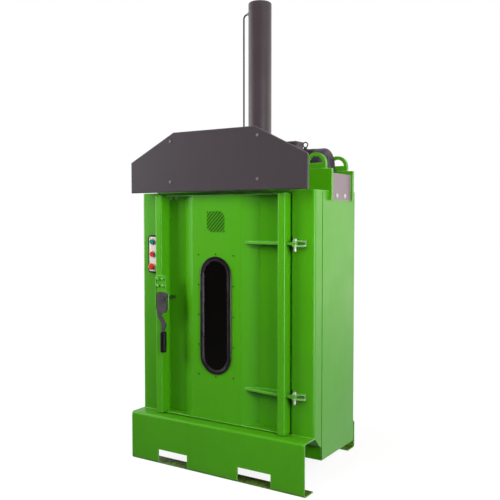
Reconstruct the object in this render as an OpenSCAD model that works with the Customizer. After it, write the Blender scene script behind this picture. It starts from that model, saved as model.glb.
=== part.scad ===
// Stationary waste compactor: a folded-sheet press with a vertical hydraulic ram.
// Millimetres, +Z up, front towards -Y. The origin is the centre of the footprint on the floor.

/* [Body] */
// Width of the body across its side panels
body_w = 1200; // [1100:10:1400]
// Height of the deck above the floor
deck_z = 1630; // [1550:10:1800]
// Height of the body's lower edge above the floor
body_clear = 145; // [120:5:170]
// Depth of the body from the posts' faces to its back
body_d = 526; // [510:1:620]
// Depth of a post from its face to the side panel's seam
post_d = 90; // [84:1:100]
// Width of the left post
left_post_w = 143; // [130:1:160]
// Width of the right post
right_post_w = 148; // [130:1:180]
// Thickness of the body, base and post sheets
sheet_t = 6; // [4:0.5:8]
// Outer radius of the sheet folds
fold_r = 16; // [12:1:20]
// Width of the side panels' rear returns
rear_return = 46; // [36:1:60]
// Thickness of the deck plate
deck_t = 12; // [10:1:16]
// Height of the door header below the deck
header_h = 60; // [40:5:90]
// Thickness of the chamber floor
floor_t = 8; // [6:1:12]
// Width of a floor channel
channel_w = 100; // [80:5:140]
// Distance between floor channels
channel_pitch = 340; // [240:10:400]
// Width of a rib on the back panel
back_rib_w = 120; // [80:5:160]
// Depth of a rib on the back panel
back_rib_d = 50; // [36:2:80]
// Distance between the ribs on the back panel
back_rib_pitch = 560; // [400:10:700]

/* [Base] */
// Height of the front skirt
skirt_h = 290; // [260:5:320]
// Setback of the posts behind the skirt's face
post_setback = 110; // [100:5:140]
// Depth of the skirt's shelf behind the posts' faces
shelf_past_post = 16; // [15:1:24]
// Drop of the skirt's sloping rear leg
leg_drop = 60; // [40:2:64]
// Depth of the bottom lips
lip_d = 100; // [80:5:120]
// Reach of the rear foot behind the body
foot_reach = 288; // [220:1:340]
// Width of the rear foot past its fork slots
foot_edge = 84; // [60:2:110]
// Height of the rear foot
foot_h = 189; // [170:1:220]
// Depth of the rear foot's bevel
foot_bevel_d = 35; // [28:1:50]
// Height of the rear foot's bevel
foot_bevel_h = 27; // [22:1:40]
// Width of a fork slot
fork_w = 215; // [180:5:240]
// Height of the fork slots' upper edge
fork_h = 88; // [80:1:110]
// Distance between the fork slots' middles
fork_pitch = 569; // [500:1:620]

/* [Lifting beams] */
// Height of a beam above the deck
beam_h = 122; // [100:2:150]
// Thickness of a beam
beam_t = 18; // [14:1:22]
// Reach of a beam past the side panel
beam_over = 18; // [14:1:24]
// Drop of the tabs at a beam's ends
tab_drop = 53; // [40:1:70]
// Setback of the front beam behind the posts' faces
beam_setback = 165; // [150:1:175]
// Clear space between the beams
beam_gap = 260; // [250:2:300]
// Outer radius of a lug
lug_r = 66; // [54:1:76]
// Radius of a lug's hole
lug_hole_r = 46; // [34:1:50]
// Height of a lug's centre above the beam
lug_rise = 24; // [18:1:34]
// Height of the flat floor of a lug's hole above the beam
lug_floor = 32; // [20:1:40]
// Distance of a lug's middle from the body's side
lug_inset = 84; // [80:1:110]
// Thickness of the end covers
cover_t = 4; // [3:0.5:6]
// Height of the end covers above the deck
cover_rise = 100; // [80:2:110]
// Overlap of the end covers on the side panels
cover_lap = 52; // [44:1:70]
// Width of the end covers' folded top edge
cover_fold = 25; // [16:1:34]

/* [Hood] */
// Reach of the hood plate past the side panels
hood_over = 6; // [0:1:14]
// Width of the hood's top edge
hood_top_w = 558; // [400:2:700]
// Height of the hood at its sides
hood_side_h = 185; // [150:1:220]
// Height of the hood at its middle
hood_h = 348; // [320:1:400]
// Thickness of the hood's sheet
hood_t = 4; // [3:0.5:6]
// Depth of the hood's folded edges
hood_lip = 15; // [12:1:40]
// Setback of the hood behind the skirt's face
hood_setback = 12; // [4:1:30]
// Radius of the hood's folded edges
hood_r = 7; // [5:1:10]
// Distance between the hood arms
arm_pitch = 600; // [560:4:800]
// Clearance of the hood arms below the hood's folded edge
arm_clear = 12; // [8:1:20]
// Height of the hood arms' lower bolt above the deck
arm_low = 60; // [50:1:80]
// Thickness of the hood arms
arm_t = 8; // [6:1:12]
// Width of the hood arms' flanges
arm_w = 50; // [40:2:70]

/* [Cylinder and ram] */
// Setback of the cylinder behind the posts' faces
cyl_setback = 330; // [322:1:340]
// Outer diameter of the barrel
barrel_d = 140; // [130:1:146]
// Wall of the barrel
barrel_wall = 14; // [10:1:18]
// Width of the square cylinder flange
flange_w = 200; // [190:2:208]
// Thickness of the cylinder flange
flange_t = 30; // [24:1:40]
// Height of the cylinder's end cap
cap_h = 40; // [34:1:60]
// Length of the rod gland
gland_l = 60; // [40:2:80]
// Diameter of the piston rod
rod_d = 70; // [60:1:80]
// Length of the piston
piston_l = 60; // [50:2:80]
// Stroke of the ram
stroke = 900; // [700:10:940]
// Height of the press plate's ribs
platen_rib_h = 90; // [60:2:110]
// Thickness of the press plate
platen_t = 16; // [12:1:24]
// Clearance of the press plate from the walls
platen_gap = 16; // [12:1:24]
// Thickness of the rod's foot flange
rod_foot_t = 20; // [16:1:26]

/* [Power pack] */
// Gap between the body's left side and the oil tank
tank_end_gap = 140; // [60:5:240]
// Depth of the oil tank
tank_d = 170; // [140:2:176]
// Height of the oil tank
tank_h = 200; // [160:5:240]
// Gap between the cylinder flange and the oil tank
tank_gap = 14; // [8:1:24]
// Gap between the fan cowl and the body's right side
motor_end_gap = 80; // [50:1:90]
// Height of the motor's axis above the deck
motor_rise = 150; // [140:1:160]
// Length of the motor's finned body
motor_l = 225; // [200:5:240]
// Outer diameter over the motor's fins
motor_d = 200; // [180:2:210]
// Length of the fan cowl
cowl_l = 72; // [60:2:76]
// Length of the pump
pump_l = 41; // [40:1:60]
// Width of the square pump
pump_w = 90; // [80:2:100]
// Length of the bellhousing
bell_l = 50; // [50:1:66]
// Height of the motor plinth
plinth_h = 38; // [30:1:46]
// Radius of the steel pressure pipes
pipe_r = 5; // [4:0.5:6]
// Radius of the suction pipe
suction_r = 11; // [9:0.5:13]
// Distance of the tall pipe from the cylinder's axis
pipe_offset = 116; // [110:1:120]
// Depth of the upper port below the cylinder's top
port_drop = 54; // [50:1:70]

/* [Door] */
// Gap between the door and its frame
door_gap = 5; // [4:0.5:8]
// Width of the stiles
stile_w = 46; // [40:1:60]
// Wall of the stile tubes
stile_wall = 4; // [3:0.5:5]
// Distance the stiles stand in front of the posts' faces
stile_proud = 56; // [50:1:64]
// Distance the door's crown stands in front of the posts' faces
crown_proud = 32; // [26:1:40]
// Depth of the door's recesses behind the posts' faces
recess_back = 26; // [20:1:32]
// Width of the door's flat crown
crown_w = 338; // [320:2:380]
// Width of the door's hat section at its foot
hat_w = 524; // [480:2:560]
// Offset of the hat section from the door's middle
hat_shift = -20; // [-30:1:0]
// Thickness of the door sheet
skin_t = 5; // [4:0.5:6]
// Thickness of the door's rails
rail_t = 6; // [5:0.5:8]
// Width of the window over its gasket
window_w = 216; // [200:2:240]
// Height of the window over its gasket
window_h = 686; // [500:2:760]
// Height of the window's middle above the floor
window_z = 914; // [860:2:960]
// Width of the gasket's lips
gasket_w = 26; // [20:1:30]
// Thickness of the gasket's front lip
gasket_t = 9; // [6:0.5:12]
// Thickness of the window pane
pane_t = 6; // [5:0.5:8]
// Width of the vent field
vent_w = 123; // [90:1:150]
// Height of the vent field
vent_h = 118; // [90:1:150]
// Height of the vent's middle above the floor
vent_z = 1457; // [1420:1:1500]
// Width of a vent slot
vent_slot_w = 6.5; // [4:0.5:8]
// Distance between vent slots
vent_pitch = 16; // [13:0.5:24]

/* [Hinges] */
// Height of the lower hinge above the floor
hinge_low_z = 509; // [440:1:600]
// Height of the upper hinge above the floor
hinge_high_z = 1340; // [1200:1:1400]
// Distance of the hinge pins past the right post's inner edge
pin_past = 41; // [28:1:48]
// Distance of the hinge pins in front of the posts' faces
pin_standoff = 25; // [24:0.5:28]
// Diameter of the hinge pins
pin_d = 16; // [14:1:18]
// Radius of the hinge eyes and ears
eye_r = 15; // [13.5:0.5:16]
// Thickness of the hinge ribs
rib_t = 14; // [10:1:18]
// Thickness of the bracket's ears
ear_t = 8; // [6:1:10]
// Gap between a hinge rib and an ear
ear_gap = 2; // [1:0.5:4]
// Reach of the bracket to the right of its pin
ear_reach = 56; // [50:1:80]
// Start of the hinge ribs past the door's crown
rib_start = 25; // [16:1:40]
// Length of the hinge pins below their heads
pin_l = 58; // [54:1:70]

/* [Latch] */
// Distance of the latch shaft from the left stile
latch_in = 34; // [30:1:40]
// Height of the latch shaft above the floor
latch_z = 998; // [940:1:1060]
// Diameter of the latch shaft
shaft_d = 20; // [16:1:24]
// Reach of the latch plate past the shaft
latch_plate_past = 24; // [20:1:30]
// Height of the latch plate
latch_plate_h = 208; // [180:1:260]
// Height of the latch plate's top above the shaft
latch_plate_up = 135; // [100:1:150]
// Thickness of the latch lever
lever_t = 13; // [10:1:16]
// Length of the latch tongue
tongue_l = 136; // [130:1:150]
// Thickness of the latch tongue
tongue_t = 12; // [8:1:14]
// Length of the latch grip
grip_l = 126; // [100:1:140]
// Radius of the latch grip
grip_r = 19; // [15:0.5:22]

/* [Controls] */
// Width of the control housing
panel_w = 76; // [70:1:84]
// Height of the control housing
panel_h = 232; // [220:1:260]
// Depth of the control housing
panel_d = 16; // [14:1:24]
// Height of the control housing's middle above the floor
panel_z = 1258; // [1200:1:1300]
// Thickness of the control plate
plate_t = 3; // [2:0.5:4]
// Distance between the buttons
button_pitch = 76; // [70:1:84]
// Radius of the push buttons
button_r = 14; // [12:0.5:16]
// Radius of the emergency stop
estop_r = 20; // [18:0.5:22]
// Travel of the buttons
button_travel = 4; // [3:0.5:5]

/* [Fits] */
// Radial clearance of pins, rods and shafts that turn or slide
run_fit = 0.06; // [0.03:0.01:0.1]
// Gap left for a weld on a sloping or curved face
weld_gap = 0.3; // [0.2:0.05:0.5]
// Radial clearance of the piston and the button stems
slide_gap = 0.3; // [0.25:0.05:0.5]

/* [Hidden] */
green = [0.28, 0.59, 0.11];
dark_grey = [0.30, 0.28, 0.30];
zinc = [0.78, 0.78, 0.75];
steel = [0.60, 0.60, 0.62];
black = [0.08, 0.08, 0.09];
cream = [0.92, 0.88, 0.84];
motor_blue = [0.32, 0.34, 0.38];
$fn = 64;
// Overshoot of a cut past a face, and of a joined solid into its neighbour
cut = 1;

depth = post_setback + body_d + foot_reach;
y_front = -depth / 2;
y_end = depth / 2;
post_y = y_front + post_setback;
seam_y = post_y + post_d;
back_y = post_y + body_d;
half_w = body_w / 2;
foot_w = fork_pitch + fork_w + 2 * foot_edge;
hood_w = body_w + 2 * hood_over;
inner_w = body_w - 2 * sheet_t;
half_t = sheet_t / 2;
open_left = -half_w + left_post_w;
open_right = half_w - right_post_w;
shelf_d = post_setback + shelf_past_post;
floor_z = skirt_h;
under_deck = deck_z - deck_t;

door_left = open_left + door_gap;
door_right = open_right - door_gap;
hat_x = (door_left + door_right) / 2 + hat_shift;
door_z0 = skirt_h + door_gap;
door_z1 = under_deck - door_gap;
stile_y = post_y - stile_proud;
crown_y = post_y - crown_proud;
recess_y = post_y + recess_back;
door_back = recess_y + skin_t;
skin_left = door_left + stile_w;
skin_right = door_right - stile_w;
skin_z0 = door_z0 + rail_t;
skin_z1 = door_z1 - rail_t;
stile_r = 8;
pane_mid = crown_y + skin_t / 2;
seat_w = window_w - 1.5 * gasket_w;
seat_h = window_h - 1.5 * gasket_w;

pin_x = open_right + pin_past;
pin_y = post_y - pin_standoff;
ear_space = rib_t + 2 * ear_gap;
bracket_t = 6;

front_beam_y = post_y + beam_setback;
rear_beam_y = front_beam_y + beam_t + beam_gap;
beam_top = deck_z + beam_h;
lug_x = half_w - lug_inset;
lug_z = beam_top + lug_rise;
hood_y = y_front + hood_setback;
hood_drop = 1;
hood_z = deck_z - hood_drop;
arm_side = arm_pitch / 2 + arm_w / 2;
hood_fall = max(0, arm_side - hood_top_w / 2) * (hood_h - hood_side_h) / ((hood_w - hood_top_w) / 2);
arm_top = hood_z + hood_h - hood_fall - arm_clear;

barrel_r = barrel_d / 2;
cowl_x = half_w - motor_end_gap - cowl_l;
motor_x = cowl_x - motor_l;
bell_x = motor_x - bell_l;
pump_x = bell_x - pump_l;
pump_gap = 8;
cyl_x = pump_x - pump_gap - barrel_r;
cyl_y = post_y + cyl_setback;
bore_r = barrel_r - barrel_wall;
barrel_z = deck_z + flange_t;
low_end_gap = 40;
high_end_gap = 16;
piston_z = barrel_z + gland_l + low_end_gap + stroke;
cap_z = piston_z + piston_l + high_end_gap;
cyl_top = cap_z + cap_h;
rod_room = 10;
rod_hole_d = rod_d + 2 * rod_room;
head_room = 12;
platen_top = under_deck - rod_foot_t - head_room;
tongue_set = 6;
tongue_y = seam_y + tongue_set;
ram_clear = 10;
platen_front = tongue_y + tongue_t + ram_clear;

tank_right = cyl_x - flange_w / 2 - tank_gap;
tank_w = tank_right + half_w - tank_end_gap;
tank_top = deck_z + tank_h;
lid_t = 6;
valve_x = cyl_x - pipe_offset;
valve_w = 80;
valve_h = 80;
valve_top = tank_top + lid_t + valve_h;
port_z = cyl_top - port_drop;
boss_l = 16;
top_boss_l = 6;
top_nut_l = 10;
boss_r = 14;
nut_l = 18;
nut_r = 12;
elbow_r = 20;
top_elbow_r = 26;
suction_elbow_r = 30;
low_port_rise = 44;
low_port_z = barrel_z + low_port_rise;
low_pipe_past = 65;
low_pipe_y = cyl_y - barrel_r - low_pipe_past;
side_pipe_z = tank_top + lid_t + valve_h / 2;
motor_z = deck_z + motor_rise;
pad_rise = 3;
box_in = 6;
box_l = motor_l * 0.46;
eyebolt_in = motor_l * 0.64;
pump_mid = pump_x + pump_l / 2;
suction_past = 35;
suction_y = cyl_y - barrel_r - suction_past;
pump_pipe_past = 50;
pump_pipe_y = cyl_y + pump_w / 2 + pump_pipe_past;

latch_x = skin_left + latch_in;
latch_plate_y = stile_y - sheet_t;
boss_t = 7;
lever_gap = 0.5;
lever_y = latch_plate_y - boss_t - lever_gap;
tang_w = 16;
tang_seat = 10;
grip_side = 5;
grip_drop = 200;
grip_x = latch_x - grip_side;
grip_z = latch_z - grip_drop;

panel_gap = 8;
panel_corner = 18;
panel_edge = 10;
panel_x = open_left - panel_w / 2 - panel_gap;
panel_y = post_y - panel_d;
plate_y = panel_y - plate_t;
button_gap = 0.6;
cap_rear = plate_y - button_travel - button_gap;
button_cap_l = 10;
stem_r = 10;
stem_in = 10;
stem_end = plate_y + stem_in;
start_z = panel_z + button_pitch;
stop_z = panel_z;
estop_z = panel_z - button_pitch;

// Plain vector helpers
function unit(v) = v / norm(v);
function left_of(v) = [-v.y, v.x];
function turned(v, a) = [v.x * cos(a) - v.y * sin(a), v.x * sin(a) + v.y * cos(a)];
function turn_angle(a, b) = atan2(a.x * b.y - a.y * b.x, a.x * b.x + a.y * b.y);
function arc(c, r, a0, a1, n = 8) =
    [for (i = [0:n]) let (a = a0 + (a1 - a0) * i / n) c + r * [cos(a), sin(a)]];

// Points and left normals along the middle of a folded sheet, with a round bend at each inner point
function bend(a, p, b, r, n) =
    let (d1 = unit(p - a), d2 = unit(b - p), t = turn_angle(d1, d2), s = sign(t))
    let (start = p - d1 * r * tan(abs(t) / 2), centre = start + left_of(d1) * r * s)
    [for (i = [0:n]) [centre + turned(start - centre, t * i / n), turned(left_of(d1), t * i / n)]];
function sheet_line(path, r, n) =
    let (last = len(path) - 1)
    concat(
        [[path[0], left_of(unit(path[1] - path[0]))]],
        [for (i = [1:1:last - 1]) each bend(path[i - 1], path[i], path[i + 1], r, n)],
        [[path[last], left_of(unit(path[last] - path[last - 1]))]]
    );
// Section of a sheet of even thickness t folded along a path, with outer bend radius r
module sheet_section(path, t, r, n = 6) {
    line = sheet_line(path, r - t / 2, n);
    last = len(line) - 1;
    polygon(concat(
        [for (p = line) p[0] + p[1] * t / 2],
        [for (i = [last:-1:0]) line[i][0] - line[i][1] * t / 2]
    ));
}
// A section drawn in Y and Z, run along X and centred on x
module along_x(length, x = 0) {
    translate([x - length / 2, 0, 0]) rotate([90, 0, 90]) linear_extrude(length) children();
}
// A section drawn in X and Z, run along Y from y0 to y1
module along_y(y0, y1) {
    translate([0, y1, 0]) rotate([90, 0, 0]) linear_extrude(y1 - y0) children();
}
module along_z(z0, z1) {
    translate([0, 0, z0]) linear_extrude(z1 - z0) children();
}
module block(low, high) {
    translate(low) cube(high - low);
}
// A round bar along Y from y0 to y1
module rod_y(x, z, r, y0, y1) {
    translate([x, y1, z]) rotate([90, 0, 0]) cylinder(r = r, h = y1 - y0);
}
// A round bar along X from x0 to x1
module rod_x(y, z, r, x0, x1) {
    translate([x0, y, z]) rotate([0, 90, 0]) cylinder(r = r, h = x1 - x0);
}
function rounded(w, h, r, n = 6) = concat(
    arc([w / 2 - r, h / 2 - r], r, 0, 90, n),
    arc([-w / 2 + r, h / 2 - r], r, 90, 180, n),
    arc([-w / 2 + r, -h / 2 + r], r, 180, 270, n),
    arc([w / 2 - r, -h / 2 + r], r, 270, 360, n)
);
module stadium(w, h) {
    square([w, h - w], center = true);
    for (s = [-1, 1]) translate([0, s * (h - w) / 2]) circle(d = w);
}
// A convex outline moved inwards by d
function cross_point(p, u, q, v) =
    p + u * ((q.x - p.x) * v.y - (q.y - p.y) * v.x) / (u.x * v.y - u.y * v.x);
function inset(pts, d) =
    let (n = len(pts))
    [for (i = [0:n - 1])
        let (a = pts[(i + n - 1) % n], b = pts[i], c = pts[(i + 1) % n])
        let (u = unit(b - a), v = unit(c - b))
        cross_point(b + left_of(u) * d, u, b + left_of(v) * d, v)];

// A pipe through corner points, with round elbows of radius bend_r at right-angled corners
module placed(x, y, o) {
    z = cross(x, y);
    multmatrix([[x.x, y.x, z.x, o.x], [x.y, y.y, z.y, o.y], [x.z, y.z, z.z, o.z], [0, 0, 0, 1]]) children();
}
module pipe_run(pts, r, bend_r) {
    last = len(pts) - 1;
    for (i = [0:last - 1]) {
        d = unit(pts[i + 1] - pts[i]);
        side = abs(d.z) > 0.5 ? [1, 0, 0] : [0, 0, 1];
        a = pts[i] + d * (i == 0 ? 0 : bend_r);
        b = pts[i + 1] - d * (i + 1 == last ? 0 : bend_r);
        placed(side, cross(d, side), a) cylinder(r = r, h = norm(b - a), $fn = 32);
    }
    for (i = [1:1:last - 1]) {
        d1 = unit(pts[i] - pts[i - 1]);
        d2 = unit(pts[i + 1] - pts[i]);
        placed(-d2, d1, pts[i] - d1 * bend_r + d2 * bend_r)
            rotate_extrude(angle = 90) translate([bend_r, 0]) circle(r = r, $fn = 32);
    }
}
// A hexagon nut or bolt head on a face, standing along direction d
module hex_on(p, d, r, h) {
    side = abs(d.z) > 0.5 ? [1, 0, 0] : [0, 0, 1];
    placed(side, cross(d, side), p) cylinder(r = r, h = h, $fn = 6);
}
// A washer under a hexagon head on a face
module bolt_on(p, d, r) {
    side = abs(d.z) > 0.5 ? [1, 0, 0] : [0, 0, 1];
    washer_t = r * 0.22;
    placed(side, cross(d, side), p) cylinder(r = r * 1.35, h = washer_t, $fn = 32);
    hex_on(p + d * washer_t, d, r, r * 0.75);
}
// A washer under a domed screw head on a face
module dome_on(p, d, r) {
    side = abs(d.z) > 0.5 ? [1, 0, 0] : [0, 0, 1];
    washer_t = r * 0.22;
    rise = r * 0.7;
    ball_r = (r * r + rise * rise) / (2 * rise);
    placed(side, cross(d, side), p) rotate_extrude($fn = 32) polygon(concat(
        [[0, 0], [r * 1.35, 0], [r * 1.35, washer_t]],
        arc([0, washer_t + rise - ball_r], ball_r, asin((ball_r - rise) / ball_r), 90)
    ));
}

// Base
module fork_cuts(y0, y1) {
    for (x = [-fork_pitch / 2, fork_pitch / 2])
        block([x - fork_w / 2, y0, sheet_t], [x + fork_w / 2, y1, fork_h]);
}
// The shelf's fold is 45 degrees, so the sheet's middle turns this much inside its upper edge
module front_skirt() {
    fold_in = half_t * tan(22.5);
    path = [
        [y_front + lip_d, half_t],
        [y_front + half_t, half_t],
        [y_front + half_t, skirt_h - half_t],
        [y_front + shelf_d - fold_in, skirt_h - half_t],
        [y_front + shelf_d - fold_in + leg_drop, skirt_h - half_t - leg_drop]
    ];
    color(green) difference() {
        along_x(body_w) sheet_section(path, sheet_t, fold_r);
        fork_cuts(y_front - cut, y_front + fold_r + cut);
    }
}
module rear_foot() {
    path = [
        [y_end - lip_d, half_t],
        [y_end - half_t, half_t],
        [y_end - half_t, foot_h - foot_bevel_h],
        [y_end - foot_bevel_d, foot_h - half_t],
        [back_y, foot_h - half_t]
    ];
    color(green) difference() {
        along_x(foot_w) sheet_section(path, sheet_t, fold_r);
        fork_cuts(y_end - fold_r - cut, y_end + cut);
    }
}

// Body shell
module lower_front_panel() {
    side = inner_w / 2;
    color(green) block([-side, seam_y, body_clear], [side, seam_y + sheet_t, floor_z - floor_t]);
}
// A plate that fills the chamber's plan, with a nose between the posts
module chamber_plan(nose_y) {
    side = inner_w / 2;
    rear = back_y - sheet_t;
    polygon([
        [open_left, nose_y], [open_right, nose_y], [open_right, seam_y],
        [side, seam_y], [side, rear - fold_r], [side - fold_r, rear],
        [-side + fold_r, rear], [-side, rear - fold_r], [-side, seam_y], [open_left, seam_y]
    ]);
}
module chamber_floor() {
    nose_gap = 1;
    nose_y = y_front + shelf_d + floor_t + nose_gap;
    color(green) along_z(floor_z - floor_t, floor_z) chamber_plan(nose_y);
}
module floor_channels() {
    top = floor_z - floor_t - half_t;
    side = channel_w / 2 - half_t;
    path = [[-side, body_clear], [-side, top], [side, top], [side, body_clear]];
    color(green) for (i = [-1:1]) translate([i * channel_pitch, 0, 0])
        along_y(seam_y + sheet_t, back_y - sheet_t) sheet_section(path, sheet_t, fold_r);
}
module side_panel() {
    x = half_w - half_t;
    path = [[x, seam_y], [x, back_y - half_t], [half_w - rear_return, back_y - half_t]];
    along_z(body_clear, deck_z) sheet_section(path, sheet_t, fold_r);
}
module left_side_panel() {
    color(green) mirror([1, 0, 0]) side_panel();
}
module right_side_panel() {
    color(green) side_panel();
}
module back_panel() {
    x = half_w - rear_return;
    color(green) block([-x, back_y - sheet_t, body_clear], [x, back_y, deck_z]);
}
module back_ribs() {
    x = back_rib_w / 2 - half_t;
    y = back_y + back_rib_d - half_t;
    path = [[x, back_y], [x, y], [-x, y], [-x, back_y]];
    color(green) for (s = [-1, 1]) translate([s * back_rib_pitch / 2, 0, 0])
        along_z(foot_h, deck_z) sheet_section(path, sheet_t, fold_r);
}
// A post folded from one sheet between the opening edge and the body's side, scribed to the skirt
module post(edge, side) {
    s = sign(side - edge);
    x0 = edge + s * half_t;
    x1 = side - s * half_t;
    y = post_y + half_t;
    shelf_end = y_front + shelf_d;
    low = skirt_h - (seam_y - shelf_end);
    difference() {
        along_z(low, deck_z) sheet_section([[x0, seam_y], [x0, y], [x1, y], [x1, seam_y]], sheet_t, fold_r);
        along_x(2 * body_w) polygon([
            [post_y - cut, skirt_h], [shelf_end + weld_gap, skirt_h],
            [seam_y + cut, low - cut + weld_gap], [seam_y + cut, low - cut], [post_y - cut, low - cut]
        ]);
    }
}
module left_post() {
    color(green) post(open_left, -half_w);
}
// The right post is relieved beside each hinge
module right_post() {
    relief_w = 15;
    relief_h = 72;
    relief_d = 40;
    color(green) difference() {
        post(open_right, half_w);
        for (z = [hinge_low_z, hinge_high_z]) translate([open_right, 0, z])
            along_y(post_y - cut, post_y + relief_d)
                polygon(rounded(2 * relief_w, relief_h, relief_w - cut));
    }
}
module top_deck() {
    header_gap = 8;
    header_y = door_back + header_gap;
    header_z = under_deck - header_h;
    color(green) difference() {
        union() {
            along_z(under_deck, deck_z) chamber_plan(post_y);
            block([open_left, header_y, header_z], [open_right, header_y + sheet_t, under_deck]);
        }
        translate([cyl_x, cyl_y, under_deck - cut]) cylinder(d = rod_hole_d, h = deck_t + 2 * cut);
    }
}

// Lifting beams and end covers
module lifting_beam(y) {
    end = half_w + beam_over;
    tab_r = beam_over / 2;
    tab_z = deck_z - tab_drop;
    right = concat(
        [[half_w, deck_z], [half_w, tab_z]],
        arc([end - tab_r, tab_z + tab_r], tab_r, -90, 0), [[end, beam_top]]
    );
    left = [for (i = [len(right) - 1:-1:0]) [-right[i].x, right[i].y]];
    along_y(y, y + beam_t) polygon(concat(right, left));
}
module front_beam() {
    color(green) lifting_beam(front_beam_y);
}
module rear_beam() {
    color(green) lifting_beam(rear_beam_y);
}
// A hoop that stands on a beam, with a flat floor in its hole
module lifting_lugs() {
    color(green) for (y = [front_beam_y, rear_beam_y], x = [-lug_x, lug_x])
        translate([x, 0, lug_z]) along_y(y, y + beam_t) difference() {
            union() {
                translate([-lug_r, -lug_rise]) square([2 * lug_r, lug_rise]);
                intersection() {
                    circle(lug_r);
                    translate([-lug_r, -cut]) square(2 * lug_r);
                }
            }
            intersection() {
                circle(lug_hole_r);
                translate([-lug_r, lug_floor - lug_rise]) square(2 * lug_r);
            }
        }
}
module end_cover() {
    x = half_w + cover_t / 2;
    top = deck_z + cover_rise - cover_t / 2;
    path = [[x, deck_z - cover_lap], [x, top], [half_w - cover_fold, top]];
    along_y(front_beam_y + beam_t + weld_gap, rear_beam_y - weld_gap)
        sheet_section(path, cover_t, 2 * cover_t);
}
module end_covers() {
    color(dark_grey) for (s = [0, 1]) mirror([s, 0, 0]) end_cover();
}
module end_cover_bolts() {
    head_r = 9;
    mid = front_beam_y + beam_t + beam_gap / 2;
    spread = beam_gap / 5;
    color(zinc) for (s = [-1, 1], y = [mid - spread, mid + spread])
        dome_on([s * (half_w + cover_t), y, deck_z - cover_lap / 2], [s, 0, 0], head_r);
}

// Hood
hood_outline = [
    [-hood_w / 2, hood_z], [hood_w / 2, hood_z], [hood_w / 2, hood_z + hood_side_h],
    [hood_top_w / 2, hood_z + hood_h], [-hood_top_w / 2, hood_z + hood_h],
    [-hood_w / 2, hood_z + hood_side_h]
];
// Closed skin through equal outlines drawn in X and Z, each at its own Y
module lofted(rings, ys) {
    n = len(rings[0]);
    m = len(rings);
    points = [for (i = [0:m - 1]) each [for (p = rings[i]) [p.x, ys[i], p.y]]];
    sides = [for (i = [0:m - 2], k = [0:n - 1])
        [i * n + k, i * n + (k + 1) % n, (i + 1) * n + (k + 1) % n, (i + 1) * n + k]];
    polyhedron(points, concat(
        [[for (k = [n - 1:-1:0]) k]], sides, [[for (k = [0:n - 1]) (m - 1) * n + k]]
    ));
}
module hood_plate() {
    steps = 5;
    angles = [for (i = [0:steps]) 90 * i / steps];
    rings = [for (a = angles) inset(hood_outline, hood_r * (1 - sin(a)))];
    ys = [for (a = angles) hood_y + hood_r * (1 - cos(a))];
    color(dark_grey) difference() {
        lofted(concat(rings, [hood_outline]), concat(ys, [hood_y + hood_lip]));
        along_y(hood_y + hood_t, hood_y + hood_lip + cut) polygon(inset(hood_outline, hood_t));
    }
}
// A flanged gusset that carries the hood from the front beam
module hood_arm() {
    y0 = hood_y + hood_t;
    low = deck_z + arm_low - arm_w / 2;
    high = arm_top;
    y1 = front_beam_y;
    beam_high = beam_top - arm_t;
    hole_r = arm_w * 0.7;
    hole_at = [y0 + arm_w * 1.5, low + arm_w * 1.3];
    along_x(arm_t) difference() {
        polygon([[y0, low], [y1, low], [y1, beam_high], [y0 + arm_w, high], [y0, high]]);
        translate(hole_at) circle(hole_r);
    }
    block([-arm_w / 2, y0, low], [arm_w / 2, y0 + arm_t, high]);
    block([-arm_w / 2, y1 - arm_t, low], [arm_w / 2, y1, beam_high]);
}
module hood_arms() {
    color(dark_grey) for (s = [-1, 1]) translate([s * arm_pitch / 2, 0, 0]) hood_arm();
}
module hood_bolts() {
    head_r = 8;
    head_l = 4;
    color(dark_grey) for (x = [-arm_pitch / 2, arm_pitch / 2], z = [deck_z + arm_low, arm_top - arm_w / 3])
        rod_y(x, z, head_r, hood_y - head_l, hood_y);
}

// Cylinder
module cylinder_flange() {
    corner_r = 12;
    color(dark_grey) translate([cyl_x, cyl_y, deck_z]) difference() {
        linear_extrude(flange_t) polygon(rounded(flange_w, flange_w, corner_r));
        translate([0, 0, -cut]) cylinder(d = rod_hole_d, h = flange_t + 2 * cut);
    }
}
module cylinder_bolts() {
    head_r = 12;
    edge = 20;
    at = flange_w / 2 - edge;
    color(zinc) for (x = [-at, at], y = [-at, at])
        bolt_on([cyl_x + x, cyl_y + y, barrel_z], [0, 0, 1], head_r);
}
module cylinder_barrel() {
    color(dark_grey) translate([cyl_x, cyl_y, 0]) difference() {
        union() {
            translate([0, 0, barrel_z]) cylinder(r = barrel_r, h = cap_z - barrel_z, $fn = 96);
            rod_x(0, port_z, boss_r, -barrel_r - top_boss_l, 0);
            rod_y(0, low_port_z, boss_r, -barrel_r - boss_l, 0);
        }
        translate([0, 0, barrel_z - cut]) cylinder(r = bore_r, h = cap_z - barrel_z + 2 * cut, $fn = 96);
    }
}
module cylinder_cap() {
    groove = 2;
    edge = 9;
    color(dark_grey) translate([cyl_x, cyl_y, cap_z]) rotate_extrude($fn = 96) polygon(concat(
        [[0, 0], [barrel_r, 0], [barrel_r, groove], [barrel_r - groove, groove]],
        [[barrel_r - groove, 2 * groove], [barrel_r, 2 * groove]],
        arc([barrel_r - edge, cap_h - edge], edge, 0, 90), [[0, cap_h]]
    ));
}
module rod_gland() {
    color(steel) translate([cyl_x, cyl_y, barrel_z]) difference() {
        cylinder(r = bore_r - run_fit, h = gland_l);
        translate([0, 0, -cut]) cylinder(r = rod_d / 2 + run_fit, h = gland_l + 2 * cut);
    }
}

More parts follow.
